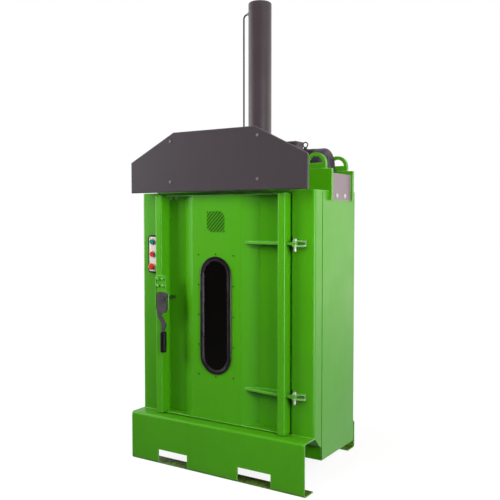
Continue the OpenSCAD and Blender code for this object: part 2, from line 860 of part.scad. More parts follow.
// Pipes: each ends on the face of a nut
module pressure_pipe() {
    color(dark_grey) pipe_run([
        [valve_x, cyl_y, valve_top + nut_l],
        [valve_x, cyl_y, port_z],
        [cyl_x - barrel_r - top_boss_l - top_nut_l, cyl_y, port_z]
    ], pipe_r, top_elbow_r);
}
module lower_pipe() {
    color(dark_grey) pipe_run([
        [valve_x, cyl_y - valve_w / 2 - nut_l, side_pipe_z],
        [valve_x, low_pipe_y, side_pipe_z],
        [cyl_x, low_pipe_y, side_pipe_z],
        [cyl_x, low_pipe_y, low_port_z],
        [cyl_x, cyl_y - barrel_r - boss_l - nut_l, low_port_z]
    ], pipe_r, elbow_r);
}
module suction_pipe() {
    color(black) pipe_run([
        [tank_right + nut_l, suction_y, motor_z],
        [pump_mid, suction_y, motor_z],
        [pump_mid, cyl_y - pump_w / 2 - nut_l, motor_z]
    ], suction_r, suction_elbow_r);
}
module pump_pipe() {
    color(dark_grey) pipe_run([
        [pump_mid, cyl_y + pump_w / 2 + nut_l, motor_z],
        [pump_mid, pump_pipe_y, motor_z],
        [valve_x, pump_pipe_y, motor_z],
        [valve_x, pump_pipe_y, side_pipe_z],
        [valve_x, cyl_y + valve_w / 2 + nut_l, side_pipe_z]
    ], pipe_r, elbow_r);
}
module pipe_fittings() {
    wide_r = suction_r * 1.7;
    color(zinc) {
        hex_on([valve_x, cyl_y, valve_top], [0, 0, 1], nut_r, nut_l);
        hex_on([cyl_x - barrel_r - top_boss_l, cyl_y, port_z], [-1, 0, 0], nut_r, top_nut_l);
        hex_on([valve_x, cyl_y - valve_w / 2, side_pipe_z], [0, -1, 0], nut_r, nut_l);
        hex_on([cyl_x, cyl_y - barrel_r - boss_l, low_port_z], [0, -1, 0], nut_r, nut_l);
        hex_on([tank_right, suction_y, motor_z], [1, 0, 0], wide_r, nut_l);
        hex_on([pump_mid, cyl_y - pump_w / 2, motor_z], [0, -1, 0], wide_r, nut_l);
        hex_on([pump_mid, cyl_y + pump_w / 2, motor_z], [0, 1, 0], nut_r, nut_l);
        hex_on([valve_x, cyl_y + valve_w / 2, side_pipe_z], [0, 1, 0], nut_r, nut_l);
    }
}

// Power pack
module oil_tank() {
    beam_room = 12;
    lid_over = 7;
    mid_x = tank_right - tank_w / 2;
    mid_y = front_beam_y + beam_t + beam_room + tank_d / 2;
    lid_w = tank_w + 2 * lid_over;
    lid_d = tank_d + 2 * lid_over;
    color(dark_grey) translate([mid_x, mid_y, 0]) {
        along_z(deck_z, tank_top) polygon(rounded(tank_w, tank_d, fold_r));
        along_z(tank_top, tank_top + lid_t) polygon(rounded(lid_w, lid_d, fold_r));
    }
}
module tank_filler() {
    neck_h = 16;
    neck_r = 18;
    cap_r = 24;
    top = 40;
    round_r = 6;
    at = [tank_right - tank_w * 0.75, cyl_y - tank_d / 4, tank_top + lid_t];
    color(black) translate(at) rotate_extrude() polygon(concat(
        [[0, 0], [neck_r, 0], [neck_r, neck_h], [cap_r, neck_h]],
        arc([cap_r - round_r, top - round_r], round_r, 0, 90), [[0, top]]
    ));
}
module valve_block() {
    coil_r = 22;
    coil_l = 70;
    barrel_room = 10;
    half = valve_w / 2;
    low = tank_top + lid_t;
    color(steel) {
        block([valve_x - half, cyl_y - half, low], [valve_x + half - barrel_room, cyl_y + half, valve_top]);
        rod_x(cyl_y, side_pipe_z, coil_r, valve_x - half - coil_l, valve_x);
    }
}
module pump() {
    corner_r = 14;
    color(dark_grey) translate([pump_x, cyl_y, motor_z]) rotate([90, 0, 90])
        linear_extrude(pump_l) polygon(rounded(pump_w, pump_w, corner_r));
}
module bellhousing() {
    r = motor_d / 2;
    color(dark_grey) translate([bell_x, cyl_y, motor_z]) rotate([0, 90, 0]) rotate_extrude() polygon([
        [0, 0], [r * 0.62, 0], [r * 0.62, bell_l * 0.2], [r * 0.72, bell_l * 0.75],
        [r * 0.95, bell_l * 0.75], [r * 0.95, bell_l], [0, bell_l]
    ]);
}
module motor_body() {
    r = motor_d / 2;
    core_r = r * 0.86;
    fins = 28;
    fin_t = 4;
    foot_z = plinth_h - motor_rise;
    foot_l = 34;
    foot_t = 14;
    foot_in = 20;
    web_z = 30;
    boss_w = 24;
    color(motor_blue) translate([motor_x, cyl_y, motor_z]) rotate([90, 0, 90]) {
        linear_extrude(motor_l) union() {
            circle(core_r);
            intersection() {
                circle(r);
                for (i = [0:fins - 1]) rotate((i + 0.5) * 360 / fins)
                    translate([core_r / 2, -fin_t / 2]) square([r, fin_t]);
            }
        }
        for (x = [foot_in, motor_l - foot_in - foot_l]) translate([0, 0, x]) linear_extrude(foot_l) polygon([
            [-r * 0.95, foot_z], [r * 0.95, foot_z], [r * 0.95, foot_z + foot_t],
            [r * 0.6, foot_z + web_z], [r * 0.5, -r * 0.4], [-r * 0.5, -r * 0.4],
            [-r * 0.6, foot_z + web_z], [-r * 0.95, foot_z + foot_t]
        ]);
        translate([-r / 2, 0, box_in]) cube([r, r + pad_rise, box_l]);
        translate([-boss_w / 2, 0, eyebolt_in - boss_w / 2]) cube([boss_w, r + pad_rise, boss_w]);
    }
}
module motor_plinth() {
    w = motor_d * 1.05;
    end_in = 10;
    top = deck_z + plinth_h - half_t;
    side = w / 2 - half_t;
    color(dark_grey) along_x(motor_l - 2 * end_in, motor_x + motor_l / 2) sheet_section([
        [cyl_y - side, deck_z], [cyl_y - side, top], [cyl_y + side, top], [cyl_y + side, deck_z]
    ], sheet_t, fold_r);
}
module fan_cowl() {
    r = motor_d / 2;
    round_r = 26;
    slots = 14;
    slot_w = 6;
    slot_d = 6;
    color(motor_blue) translate([cowl_x, cyl_y, motor_z]) rotate([0, 90, 0]) difference() {
        rotate_extrude($fn = 96) polygon(concat(
            [[0, 0], [r, 0]], arc([r - round_r, cowl_l - round_r], round_r, 0, 90), [[0, cowl_l]]
        ));
        for (i = [0:slots - 1]) rotate(i * 360 / slots)
            translate([r * 0.3, -slot_w / 2, cowl_l - slot_d]) cube([r * 0.42, slot_w, slot_d + cut]);
    }
}
module terminal_box() {
    r = motor_d / 2;
    base_h = 30;
    lid_h = 14;
    lid_over = 3;
    corner_r = 10;
    base_w = box_l - 2 * lid_over;
    mid = motor_x + box_in + box_l / 2;
    color(motor_blue) translate([mid, cyl_y, motor_z + r + pad_rise]) {
        linear_extrude(base_h) polygon(rounded(base_w, r, corner_r));
        translate([0, 0, base_h]) linear_extrude(lid_h)
            polygon(rounded(box_l, r + 2 * lid_over, corner_r + lid_over));
    }
}
module motor_eyebolt() {
    ring_r = 15;
    wire_r = 3.5;
    collar_r = 10;
    collar_h = 6;
    neck_r = 5;
    ring_z = collar_h + ring_r + wire_r - cut;
    color(motor_blue) translate([motor_x + eyebolt_in, cyl_y, motor_z + motor_d / 2 + pad_rise]) {
        cylinder(r = collar_r, h = collar_h);
        cylinder(r = neck_r, h = collar_h + wire_r);
        translate([0, 0, ring_z]) rotate([90, 0, 0])
            rotate_extrude() translate([ring_r, 0]) circle(r = wire_r, $fn = 24);
    }
}

// Hinges on the right post
module hinge_bracket(z) {
    ear_edge = 6;
    left = pin_x - eye_r;
    right = pin_x + ear_reach;
    face = post_y - bracket_t;
    ear = [
        [left, pin_y], [left, face], [right, face], [right, face - ear_edge],
        [pin_x + eye_r * 0.8, pin_y - eye_r * 0.6], [pin_x, pin_y]
    ];
    half = ear_space / 2;
    low = z - half - ear_t;
    high = z + half + ear_t;
    difference() {
        union() {
            block([left, face, low], [right, post_y, high]);
            for (ear_z = [low, z + half]) along_z(ear_z, ear_z + ear_t) {
                translate([pin_x, pin_y]) circle(eye_r);
                polygon(ear);
            }
        }
        translate([pin_x, pin_y, low - cut]) cylinder(d = pin_d + 2 * run_fit, h = high - low + 2 * cut);
    }
}
module hinge_brackets() {
    color(green) for (z = [hinge_low_z, hinge_high_z]) hinge_bracket(z);
}
module hinge_pin(z) {
    head_z = z + ear_space / 2 + ear_t;
    translate([pin_x, pin_y, head_z]) {
        translate([0, 0, -pin_l]) cylinder(d = pin_d, h = pin_l);
        cylinder(d = pin_d * 1.3, h = pin_d * 0.6);
    }
}
module hinge_pins() {
    color(zinc) for (z = [hinge_low_z, hinge_high_z]) hinge_pin(z);
}

// Controls on the left post
module stem_bores(y0, y1) {
    for (z = [start_z, stop_z, estop_z]) rod_y(panel_x, z, stem_r + slide_gap, y0, y1);
}
module control_housing() {
    back_wall = 1;
    color(black) difference() {
        translate([panel_x, 0, panel_z]) along_y(panel_y, post_y)
            polygon(rounded(panel_w, panel_h, panel_corner));
        stem_bores(panel_y - cut, post_y - back_wall);
    }
}
module control_plate() {
    color(cream) difference() {
        translate([panel_x, 0, panel_z]) along_y(plate_y, panel_y) polygon(rounded(
            panel_w - 2 * panel_edge, panel_h - 2 * panel_edge, panel_corner - panel_edge
        ));
        stem_bores(plate_y - cut, panel_y + cut);
    }
}
module push_button(z) {
    rod_y(panel_x, z, button_r, cap_rear - button_cap_l, cap_rear);
    rod_y(panel_x, z, stem_r, cap_rear - cut, stem_end);
}
module start_button() {
    color([0.1, 0.55, 0.5]) push_button(start_z);
}
module stop_button() {
    color([0.8, 0.15, 0.12]) push_button(stop_z);
}
module estop_button() {
    head_l = 20;
    round_r = 9;
    neck_l = 5;
    rim_l = 7;
    flare = 2;
    stem_l = stem_end - cap_rear;
    color([0.85, 0.2, 0.12]) translate([panel_x, cap_rear, estop_z]) rotate([90, 0, 0]) {
        rotate_extrude() polygon(concat(
            [[0, 0], [stem_r, 0], [stem_r + flare, neck_l], [estop_r, rim_l]],
            arc([estop_r - round_r, head_l - round_r], round_r, 0, 90), [[0, head_l]]
        ));
        translate([0, 0, -stem_l]) cylinder(r = stem_r, h = stem_l + cut);
    }
}

// Door
skin_path = [
    [skin_left, recess_y + skin_t / 2], [hat_x - hat_w / 2, recess_y + skin_t / 2],
    [hat_x - crown_w / 2, crown_y + skin_t / 2], [hat_x + crown_w / 2, crown_y + skin_t / 2],
    [hat_x + hat_w / 2, recess_y + skin_t / 2], [skin_right, recess_y + skin_t / 2]
];
module vent_slots() {
    clip = vent_w / 5;
    intersection() {
        polygon([
            [-vent_w / 2 + clip, -vent_h / 2], [vent_w / 2, -vent_h / 2], [vent_w / 2, vent_h / 2 - clip],
            [vent_w / 2 - clip, vent_h / 2], [-vent_w / 2, vent_h / 2], [-vent_w / 2, -vent_h / 2 + clip]
        ]);
        rotate(45) for (i = [-5:5]) translate([0, i * vent_pitch])
            square([2 * vent_w, vent_slot_w], center = true);
    }
}
module door_skin() {
    shaft_room = 1;
    color(green) difference() {
        along_z(skin_z0, skin_z1) sheet_section(skin_path, skin_t, skin_t * 2);
        translate([hat_x, 0, window_z]) along_y(crown_y - cut, crown_y + skin_t + cut)
            stadium(window_w - gasket_w, window_h - gasket_w);
        translate([hat_x, 0, vent_z]) along_y(crown_y - cut, crown_y + skin_t + cut) vent_slots();
        rod_y(latch_x, latch_z, shaft_d / 2 + shaft_room, crown_y - cut, door_back + cut);
    }
}
module stile(x0, x1) {
    w = x1 - x0;
    d = door_back - stile_y;
    translate([(x0 + x1) / 2, stile_y + d / 2, 0]) along_z(door_z0, door_z1) difference() {
        polygon(rounded(w, d, stile_r));
        polygon(rounded(w - 2 * stile_wall, d - 2 * stile_wall, stile_r - stile_wall));
    }
}
module left_stile() {
    color(green) stile(door_left, skin_left);
}
module right_stile() {
    color(green) difference() {
        stile(skin_right, door_right);
        for (z = [hinge_low_z, hinge_high_z])
            block(
                [skin_right - cut, pin_y - eye_r - weld_gap, z - rib_t / 2 - weld_gap],
                [door_right + cut, pin_y + eye_r + weld_gap, z + rib_t / 2 + weld_gap]
            );
    }
}
module door_rails() {
    color(green) for (z = [door_z0, skin_z1])
        block([skin_left, crown_y, z], [skin_right, door_back, z + rail_t]);
}
// A tapered rib that lies on the door's cheek and recess, runs through the stile and ends in an eye
module hinge_rib() {
    cheek = unit([(hat_w - crown_w) / 2, recess_y - crown_y]);
    off = [cheek.y, -cheek.x] * (skin_t / 2 + weld_gap);
    top = [hat_x + crown_w / 2, crown_y + skin_t / 2] + cheek * rib_start + off;
    foot = [hat_x + hat_w / 2, recess_y + skin_t / 2] + off;
    floor_y = recess_y - weld_gap;
    stile_x = skin_right - weld_gap;
    scribe = 4;
    difference() {
        union() {
            polygon([
                top, [stile_x, pin_y - eye_r], [pin_x, pin_y - eye_r], [pin_x, pin_y + eye_r],
                [stile_x, pin_y + eye_r], [stile_x, floor_y],
                [foot.x + scribe, floor_y], foot - cheek * scribe
            ]);
            translate([pin_x, pin_y]) circle(eye_r);
        }
        translate([pin_x, pin_y]) circle(d = pin_d + 2 * run_fit);
    }
}
module hinge_ribs() {
    color(green) for (z = [hinge_low_z, hinge_high_z]) along_z(z - rib_t / 2, z + rib_t / 2) hinge_rib();
}
// A section drawn as distance in from a stadium's edge and height, run round the stadium
module run_round(w, h) {
    run = h - w;
    for (s = [0, 1]) mirror([0, s, 0]) translate([0, run / 2, 0])
        rotate_extrude(angle = 180, $fn = 96) translate([w / 2, 0]) mirror([1, 0]) children();
    for (s = [0, 1]) mirror([s, 0, 0]) translate([0, run / 2, 0]) rotate([90, 0, 0])
        linear_extrude(run) translate([w / 2, 0]) mirror([1, 0]) children();
}
// The rubber's section: a rounded front lip with a filler bead, a slot for the pane and a flat rear lip
module gasket_section() {
    bead_r = gasket_w * 0.15;
    bead_y = gasket_t * 0.4;
    groove_w = 1.2;
    groove_y = gasket_t * 0.25;
    lip_w = gasket_w - 2 * bead_r - groove_w;
    edge_r = gasket_t * 0.7;
    inner_r = gasket_t * 0.4;
    web = gasket_w / 2 + weld_gap;
    seat = (window_w - seat_w) / 2;
    slot_y = (pane_t - skin_t) / 2;
    rear = -skin_t - gasket_t;
    polygon(concat(
        [[web, 0], [0, 0]], arc([edge_r, gasket_t - edge_r], edge_r, 180, 90),
        arc([lip_w - inner_r, gasket_t - inner_r], inner_r, 90, 0),
        [[lip_w, groove_y], [lip_w + groove_w, groove_y]],
        arc([gasket_w - bead_r, bead_y], bead_r, 180, 0),
        [[gasket_w, slot_y], [seat, slot_y], [seat, slot_y - pane_t], [gasket_w, slot_y - pane_t]],
        [[gasket_w, rear], [0, rear], [0, -skin_t], [web, -skin_t]]
    ));
}
module window_gasket() {
    color(black) translate([hat_x, crown_y, window_z]) rotate([90, 0, 0])
        run_round(window_w, window_h) gasket_section();
}
module window_pane() {
    color(black) translate([hat_x, 0, window_z])
        along_y(pane_mid - pane_t / 2, pane_mid + pane_t / 2)
            stadium(seat_w - 2 * weld_gap, seat_h - 2 * weld_gap);
}

// Latch
// A flat plate on the stile's face, notched above the shaft, with a bush for the shaft
module latch_plate() {
    top = latch_z + latch_plate_up;
    low = top - latch_plate_h;
    left = door_left + stile_r;
    end = latch_x + latch_plate_past;
    step = latch_plate_past;
    bush_r = shaft_d * 0.85;
    rear = latch_plate_y + sheet_t;
    corner_r = 8;
    corner = end - corner_r;
    color(green) difference() {
        union() {
            along_y(latch_plate_y, rear) polygon(concat(
                [[left, low]], arc([corner, low + corner_r], corner_r, -90, 0),
                [[end, latch_z + step], [end - step, latch_z + 2 * step], [end - step, top], [left, top]]
            ));
            rod_y(latch_x, latch_z, bush_r, latch_plate_y - boss_t, rear + boss_t);
        }
        rod_y(latch_x, latch_z, shaft_d / 2 + run_fit, latch_plate_y - boss_t - cut, rear + boss_t + cut);
    }
}
// A plate with a rounded head on the shaft, a cranked neck and a tang that runs down into the grip
module latch_lever() {
    head_w = 68;
    head_h = 126;
    head_r = 16;
    head_mid = [-14, -26];
    neck_z = 10 - grip_drop;
    tang_z = tang_seat - grip_drop - grip_l;
    tang_left = -grip_side - tang_w / 2;
    tang_right = -grip_side + tang_w / 2;
    color(dark_grey) translate([latch_x, 0, latch_z]) difference() {
        along_y(lever_y - lever_t, lever_y) union() {
            translate(head_mid) polygon(rounded(head_w, head_h, head_r));
            polygon([
                [-52, -60], [-44, -112], [-12, -160], [tang_left, neck_z], [tang_left, tang_z],
                [tang_right, tang_z], [tang_right, neck_z], [18, -158], [-18, -108], [-20, -60]
            ]);
        }
        rod_y(0, 0, shaft_d / 2 + run_fit, lever_y - lever_t - cut, lever_y + cut);
    }
}
module latch_grip() {
    round_r = 8;
    slot_w = tang_w + 2 * weld_gap;
    slot_d = lever_t + 2 * weld_gap;
    mid_y = lever_y - lever_t / 2;
    color(black) translate([grip_x, mid_y, grip_z]) difference() {
        translate([0, 0, -grip_l]) rotate_extrude() polygon(concat(
            [[0, 0]], arc([grip_r - round_r, round_r], round_r, -90, 0),
            arc([grip_r - round_r, grip_l - round_r], round_r, 0, 90), [[0, grip_l]]
        ));
        translate([-slot_w / 2, -slot_d / 2, tang_seat - grip_l]) cube([slot_w, slot_d, grip_l]);
    }
}
module latch_tongue() {
    head_l = 9;
    tongue_w = 30;
    front = lever_y - lever_t;
    head_r = shaft_d * 0.72;
    reach = tongue_l - tongue_w / 2;
    color(zinc) {
        rod_y(latch_x, latch_z, shaft_d / 2, front - cut, tongue_y + tongue_t);
        hex_on([latch_x, front, latch_z], [0, -1, 0], head_r, head_l);
        translate([latch_x, 0, latch_z + reach / 2]) along_y(tongue_y, tongue_y + tongue_t)
            stadium(tongue_w, reach + tongue_w);
    }
}

// Ram
module piston_rod() {
    foot_r = rod_d;
    color(steel) translate([cyl_x, cyl_y, 0]) {
        translate([0, 0, platen_top]) cylinder(r = foot_r, h = rod_foot_t);
        translate([0, 0, platen_top]) cylinder(d = rod_d, h = piston_z - platen_top + cut);
        translate([0, 0, piston_z]) cylinder(r = bore_r - slide_gap, h = piston_l, $fn = 96);
    }
}
module platen() {
    side = inner_w / 2 - platen_gap;
    rear = back_y - sheet_t - platen_gap;
    low = platen_top - platen_rib_h - platen_t;
    rib_w = 12;
    rib_in = 10;
    rib_z = low + platen_t - cut;
    y0 = platen_front + rib_in;
    y1 = rear - rib_in;
    color(green) {
        block([-side, platen_front, low], [side, rear, low + platen_t]);
        for (x = [-side, -side / 2, cyl_x - rod_d, cyl_x + rod_d - rib_w, side / 2 + rib_w, side - rib_w])
            block([x, y0, rib_z], [x + rib_w, y1, platen_top]);
        for (y = [y0, cyl_y - rod_d, cyl_y + rod_d - rib_w, y1 - rib_w])
            block([-side, y, rib_z], [side, y + rib_w, platen_top]);
    }
}

front_skirt();
rear_foot();
lower_front_panel();
chamber_floor();
floor_channels();
left_side_panel();
right_side_panel();
back_panel();
back_ribs();
left_post();
right_post();
top_deck();
front_beam();
rear_beam();
lifting_lugs();
end_covers();
end_cover_bolts();
hood_plate();
hood_arms();
hood_bolts();
cylinder_flange();
cylinder_bolts();
cylinder_barrel();
cylinder_cap();
rod_gland();
pressure_pipe();
lower_pipe();
suction_pipe();
pump_pipe();
pipe_fittings();
oil_tank();
tank_filler();
valve_block();
pump();
bellhousing();
motor_body();
motor_plinth();
fan_cowl();
terminal_box();
motor_eyebolt();
hinge_brackets();
hinge_pins();
control_housing();
control_plate();
door_skin();
left_stile();
right_stile();
door_rails();
hinge_ribs();
window_gasket();
window_pane();
latch_plate();
latch_lever();
latch_grip();
latch_tongue();
piston_rod();
platen();
start_button();
stop_button();
estop_button();
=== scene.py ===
# %% [markdown]
# # A stationary waste compactor
# The machine is a tall press made of folded sheet steel, painted green, with a dark hood and a hydraulic
# cylinder on its deck. The solid model already has every panel, hinge and bolt at its real size. This
# lesson gives those solids their finishes and adds what a paint shop and a fitter leave behind: weld
# beads, screw heads, washers and button collars. Everything is in metres, and the front of the machine
# faces -Y.

# %% Load the machine
import math

import bmesh
import bpy
from mathutils import Matrix, Vector


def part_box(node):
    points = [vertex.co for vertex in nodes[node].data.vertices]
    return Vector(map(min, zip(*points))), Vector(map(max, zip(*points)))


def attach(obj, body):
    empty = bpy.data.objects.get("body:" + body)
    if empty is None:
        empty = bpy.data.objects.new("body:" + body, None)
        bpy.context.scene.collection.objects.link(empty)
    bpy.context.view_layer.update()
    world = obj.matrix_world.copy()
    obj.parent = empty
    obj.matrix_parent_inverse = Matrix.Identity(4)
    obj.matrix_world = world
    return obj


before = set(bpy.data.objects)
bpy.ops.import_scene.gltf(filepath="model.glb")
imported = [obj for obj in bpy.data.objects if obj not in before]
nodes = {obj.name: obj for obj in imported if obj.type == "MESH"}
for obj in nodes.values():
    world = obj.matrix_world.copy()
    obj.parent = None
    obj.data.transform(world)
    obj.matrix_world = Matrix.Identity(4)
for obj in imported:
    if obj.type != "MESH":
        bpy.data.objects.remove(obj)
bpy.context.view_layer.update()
scene = bpy.context.scene

# %% [markdown]
# ## The camera
# A photograph of a machine has a lens and a standing place. The fold lines of the body and the skirt give
# both: lines that run the same way meet at one far point, and two such points fix the focal length and
# the turn of the camera. A camera that is set from measured numbers is better here than one that is
# pointed by eye.

# %% Place the camera
PHOTO_SIDE = 500
FOCAL_PX = 695.4
SENSOR_MM = 36.0
SIGHT = 200.0
EYE = Vector((2.2854, -3.6565, 1.4714))
YAW = math.radians(32.36)
DOWN = math.radians(2.53)

camera_data = bpy.data.cameras.new("camera")
camera_data.sensor_width = SENSOR_MM
camera_data.lens = FOCAL_PX * SENSOR_MM / PHOTO_SIDE
camera_data.clip_end = SIGHT
camera = bpy.data.objects.new("camera", camera_data)
camera.location = EYE
camera.rotation_euler = (math.pi / 2 - DOWN, 0, YAW)
scene.collection.objects.link(camera)
scene.camera = camera
print("lens", round(camera_data.lens, 2), "mm")

# %% [markdown]
# ## Short ways to write nodes
# A material is a net of nodes, and a script that spells out every link hides what the net does. This
# helper places a node, sets or links its inputs, and hands back the output that is wanted. The same net
# could be wired by hand in the shader editor, but a script makes it again in the same way every time.

# %% Node helpers
WHITE = (1.0, 1.0, 1.0, 1.0)
# The Mix node lists its sockets for numbers and vectors before those for colours.
MIX_INPUTS = (0, 6, 7)
MIX_OUTPUT = 2


def linear(red, green, blue):
    """A colour given as on a screen, from 0 to 255, as the shader wants it."""
    def one(v):
        v = v / 255
        return v / 12.92 if v <= 0.04045 else ((v + 0.055) / 1.055) ** 2.4
    return (one(red), one(green), one(blue), 1.0)


class Tree:
    """A node tree, with a short way to place nodes and link them."""

    def __init__(self, tree):
        self.tree = tree

    def put(self, socket, value):
        """Links a socket to another one, or sets it to a plain value."""
        if isinstance(value, bpy.types.NodeSocket):
            self.tree.links.new(value, socket)
        else:
            socket.default_value = value

    def feed(self, node, name, value):
        self.put(node.inputs[name], value)

    def add(self, kind, **inputs):
        """A new node, with an underscore for each space in the names of its inputs."""
        node = self.tree.nodes.new(kind)
        for name, value in inputs.items():
            self.feed(node, name.replace("_", " "), value)
        return node

    def math(self, operation, first, second=0.0):
        node = self.tree.nodes.new("ShaderNodeMath")
        node.operation = operation
        self.put(node.inputs[0], first)
        self.put(node.inputs[1], second)
        return node.outputs[0]

    def measure(self, operation, *vectors):
        """The number that a Vector Math node gives, such as a length or a dot product."""
        node = self.tree.nodes.new("ShaderNodeVectorMath")
        node.operation = operation
        for socket, vector in zip(node.inputs, vectors):
            self.put(socket, vector)
        return node.outputs["Value"]

    def part(self, vector, axis):
        """One coordinate of a vector."""
        return self.add("ShaderNodeSeparateXYZ", Vector=vector).outputs[axis]

    def span(self, value, low, high, start=0.0, stop=1.0):
        """low where value is at start, and high where it is at stop."""
        node = self.add("ShaderNodeMapRange", Value=value, From_Min=start, From_Max=stop,
                        To_Min=low, To_Max=high)
        return node.outputs["Result"]

    def blend(self, share, first, second, mode="MIX"):
        """A share of the second colour over the first one."""
        node = self.tree.nodes.new("ShaderNodeMix")
        node.data_type = "RGBA"
        node.blend_type = mode
        for index, value in zip(MIX_INPUTS, (share, first, second)):
            self.put(node.inputs[index], value)
        return node.outputs[MIX_OUTPUT]


print("half way on a screen is", round(linear(128, 128, 128)[0], 3), "of full light")

# %% [markdown]
# ## The studio
# The machine stands on a white studio floor in front of white walls. A floor that glows for the camera
# and for reflections, but not for the light that falls on the machine, gives a clean white without
# washing the paint out. The floor still has a plain diffuse part. Near the machine the glow is a little
# lower, so lamplight makes up the white there and the machine keeps its shadow. A studio is dim on the
# photographer's side, so gloss that faces the front mirrors a dim room, and gloss that faces a wall
# mirrors white.

# %% Studio floor
FLOOR_GREY = (0.20, 0.20, 0.20, 1.0)
FLOOR_HALF = 30.0
SHADOW_FLOOR = 0.88
SHADOW_REACH = (0.9, 2.4)
DIM_ROOM = 0.08
WALL_SPAN = (-0.45, 0.1)


def shown_strength(tree, rest, place, level=1.0):
    """A glow: white, or a level of it, where it is seen, white to dim in gloss, and rest as light."""
    path = tree.add("ShaderNodeLightPath").outputs
    walls = tree.span(tree.part(place, "Y"), DIM_ROOM, 1.0, *WALL_SPAN)
    lit = tree.span(path["Is Glossy Ray"], rest, walls)
    seen = tree.math("MAXIMUM", path["Is Camera Ray"], path["Is Transmission Ray"])
    return tree.math("MAXIMUM", lit, tree.math("MULTIPLY", seen, level))


def studio_floor_finish():
    """Grey paint for the shadow, and a glow over it."""
    made = bpy.data.materials.new("studio_floor")
    made.use_nodes = True
    made.node_tree.nodes.clear()
    tree = Tree(made.node_tree)
    place = tree.add("ShaderNodeTexCoord").outputs["Object"]
    level = tree.span(tree.measure("LENGTH", place), SHADOW_FLOOR, 1.0, *SHADOW_REACH)
    paint = tree.add("ShaderNodeBsdfDiffuse", Color=FLOOR_GREY)
    glow = tree.add("ShaderNodeEmission", Color=WHITE, Strength=shown_strength(tree, 0.0, place, level))
    both = tree.add("ShaderNodeAddShader")
    tree.put(both.inputs[0], paint.outputs[0])
    tree.put(both.inputs[1], glow.outputs[0])
    tree.add("ShaderNodeOutputMaterial", Surface=both.outputs[0])
    return made


floor_mesh = bpy.data.meshes.new("studio_floor")
shape = bmesh.new()
bmesh.ops.create_grid(shape, x_segments=1, y_segments=1, size=FLOOR_HALF)
shape.to_mesh(floor_mesh)
shape.free()
floor = bpy.data.objects.new("studio_floor", floor_mesh)
floor.data.materials.append(studio_floor_finish())
scene.collection.objects.link(floor)
print("floor", 2 * FLOOR_HALF, "m across")

# %% [markdown]
# ## The room
# The room behind the floor follows the same rule: white for the camera, white or dim in gloss, and only a
# little light of its own. A bright room would be simpler, but it fills the shadows that give the folds
# their depth.

# %% World
AMBIENT = 0.15

world = bpy.data.worlds.new("studio")
world.use_nodes = True
room = Tree(world.node_tree)
way = room.add("ShaderNodeTexCoord").outputs["Generated"]
sky = world.node_tree.nodes["Background"]
room.feed(sky, "Color", WHITE)
room.feed(sky, "Strength", shown_strength(room, AMBIENT, way))
scene.world = world
scene.view_settings.view_transform = "Standard"
print("room light", AMBIENT, "and", DIM_ROOM, "in gloss that faces the front")

# %% [markdown]
# ## The lamps
# Both slanting cheeks of the door are bright and the recesses beside them are dark, so broad soft lamps
# stand on both sides of the camera and above. The side of the body is the palest face: a lamp on its
# right lights it, and a warm white wall behind it shows in its gloss. A second wall on the left shows as
# a pale band up the cylinder. Large lamps are used because a small one would draw hard shadows that the
# photograph doesn't have. The three that aren't walls are hidden from gloss, so that none prints its
# outline on the paint. Two slim strips do the opposite: they show only in gloss, where they draw the
# bright lines along the folds and the rounded corners.

# %% Hang the lamps
PLAIN = (1.0, 1.0, 1.0)
WARM = (1.0, 0.93, 0.74)
BODY_MIDDLE = (0.0, 0.0, 1.2)
UPPER_FRONT = (0.0, -0.3, 1.75)
LEFT_FOLD = (-0.2, -0.35, 1.4)
RIGHT_FOLD = (0.3, -0.35, 0.75)


def lamp(name, place, aim, size, watts, tint=PLAIN, mirrored=False, lights=True, spread=180):
    """An area lamp that may show in gloss, light plain surfaces, or both."""
    data = bpy.data.lights.new(name, "AREA")
    data.spread = math.radians(spread)
    data.shape = "RECTANGLE"
    data.size, data.size_y = size
    data.energy = watts
    data.color = tint
    made = bpy.data.objects.new(name, data)
    made.location = place
    made.rotation_euler = (Vector(aim) - Vector(place)).to_track_quat("-Z", "Y").to_euler()
    made.visible_camera = False
    made.visible_glossy = mirrored
    made.visible_diffuse = lights
    scene.collection.objects.link(made)


lamp("left_lamp", (-3.2, -2.7, 2.8), UPPER_FRONT, (2.0, 2.0), 37, spread=75)
lamp("right_lamp", (3.85, -2.0, 2.4), UPPER_FRONT, (2.0, 2.0), 86, spread=120)
lamp("right_wall_lamp", (3.2, 4.6, 1.7), BODY_MIDDLE, (4.0, 4.0), 60, WARM, mirrored=True)
lamp("left_wall_lamp", (-3.9, -0.9, 2.4), UPPER_FRONT, (3.2, 3.6), 46, mirrored=True)
lamp("top_lamp", (0.6, -2.6, 4.3), UPPER_FRONT, (2.0, 2.0), 30)
lamp("low_strip", (3.5, -1.7, 0.75), RIGHT_FOLD, (0.5, 1.5), 80, mirrored=True, lights=False)
lamp("left_strip", (-3.6, -1.4, 1.4), LEFT_FOLD, (0.3, 1.2), 36, mirrored=True, lights=False)

# %% [markdown]
# ## Effects that several finishes share
# Powder coat, bare metal and moulded plastic all have the same two layers: a slow change of tone over the
# piece and a fine grain that breaks up the reflections. Each effect is built once as a node group, with
# named inputs, and is then placed in every material with its own values. All of them read object
# coordinates, which are metres here, so a grain of 2 mm is 2 mm on every piece. The first is tone: soft
# patches, with a few long runs down the sheet where paint was sprayed from top to bottom.

# %% Tone
COLOR = "NodeSocketColor"
FLOAT = "NodeSocketFloat"
NOISE_SPAN = (0.3, 0.7)
PATCH_SHARE = 0.75
RUN_SCALE = 38.0
RUN_STRETCH = (1.0, 1.0, 0.12)
GROUPS = {}


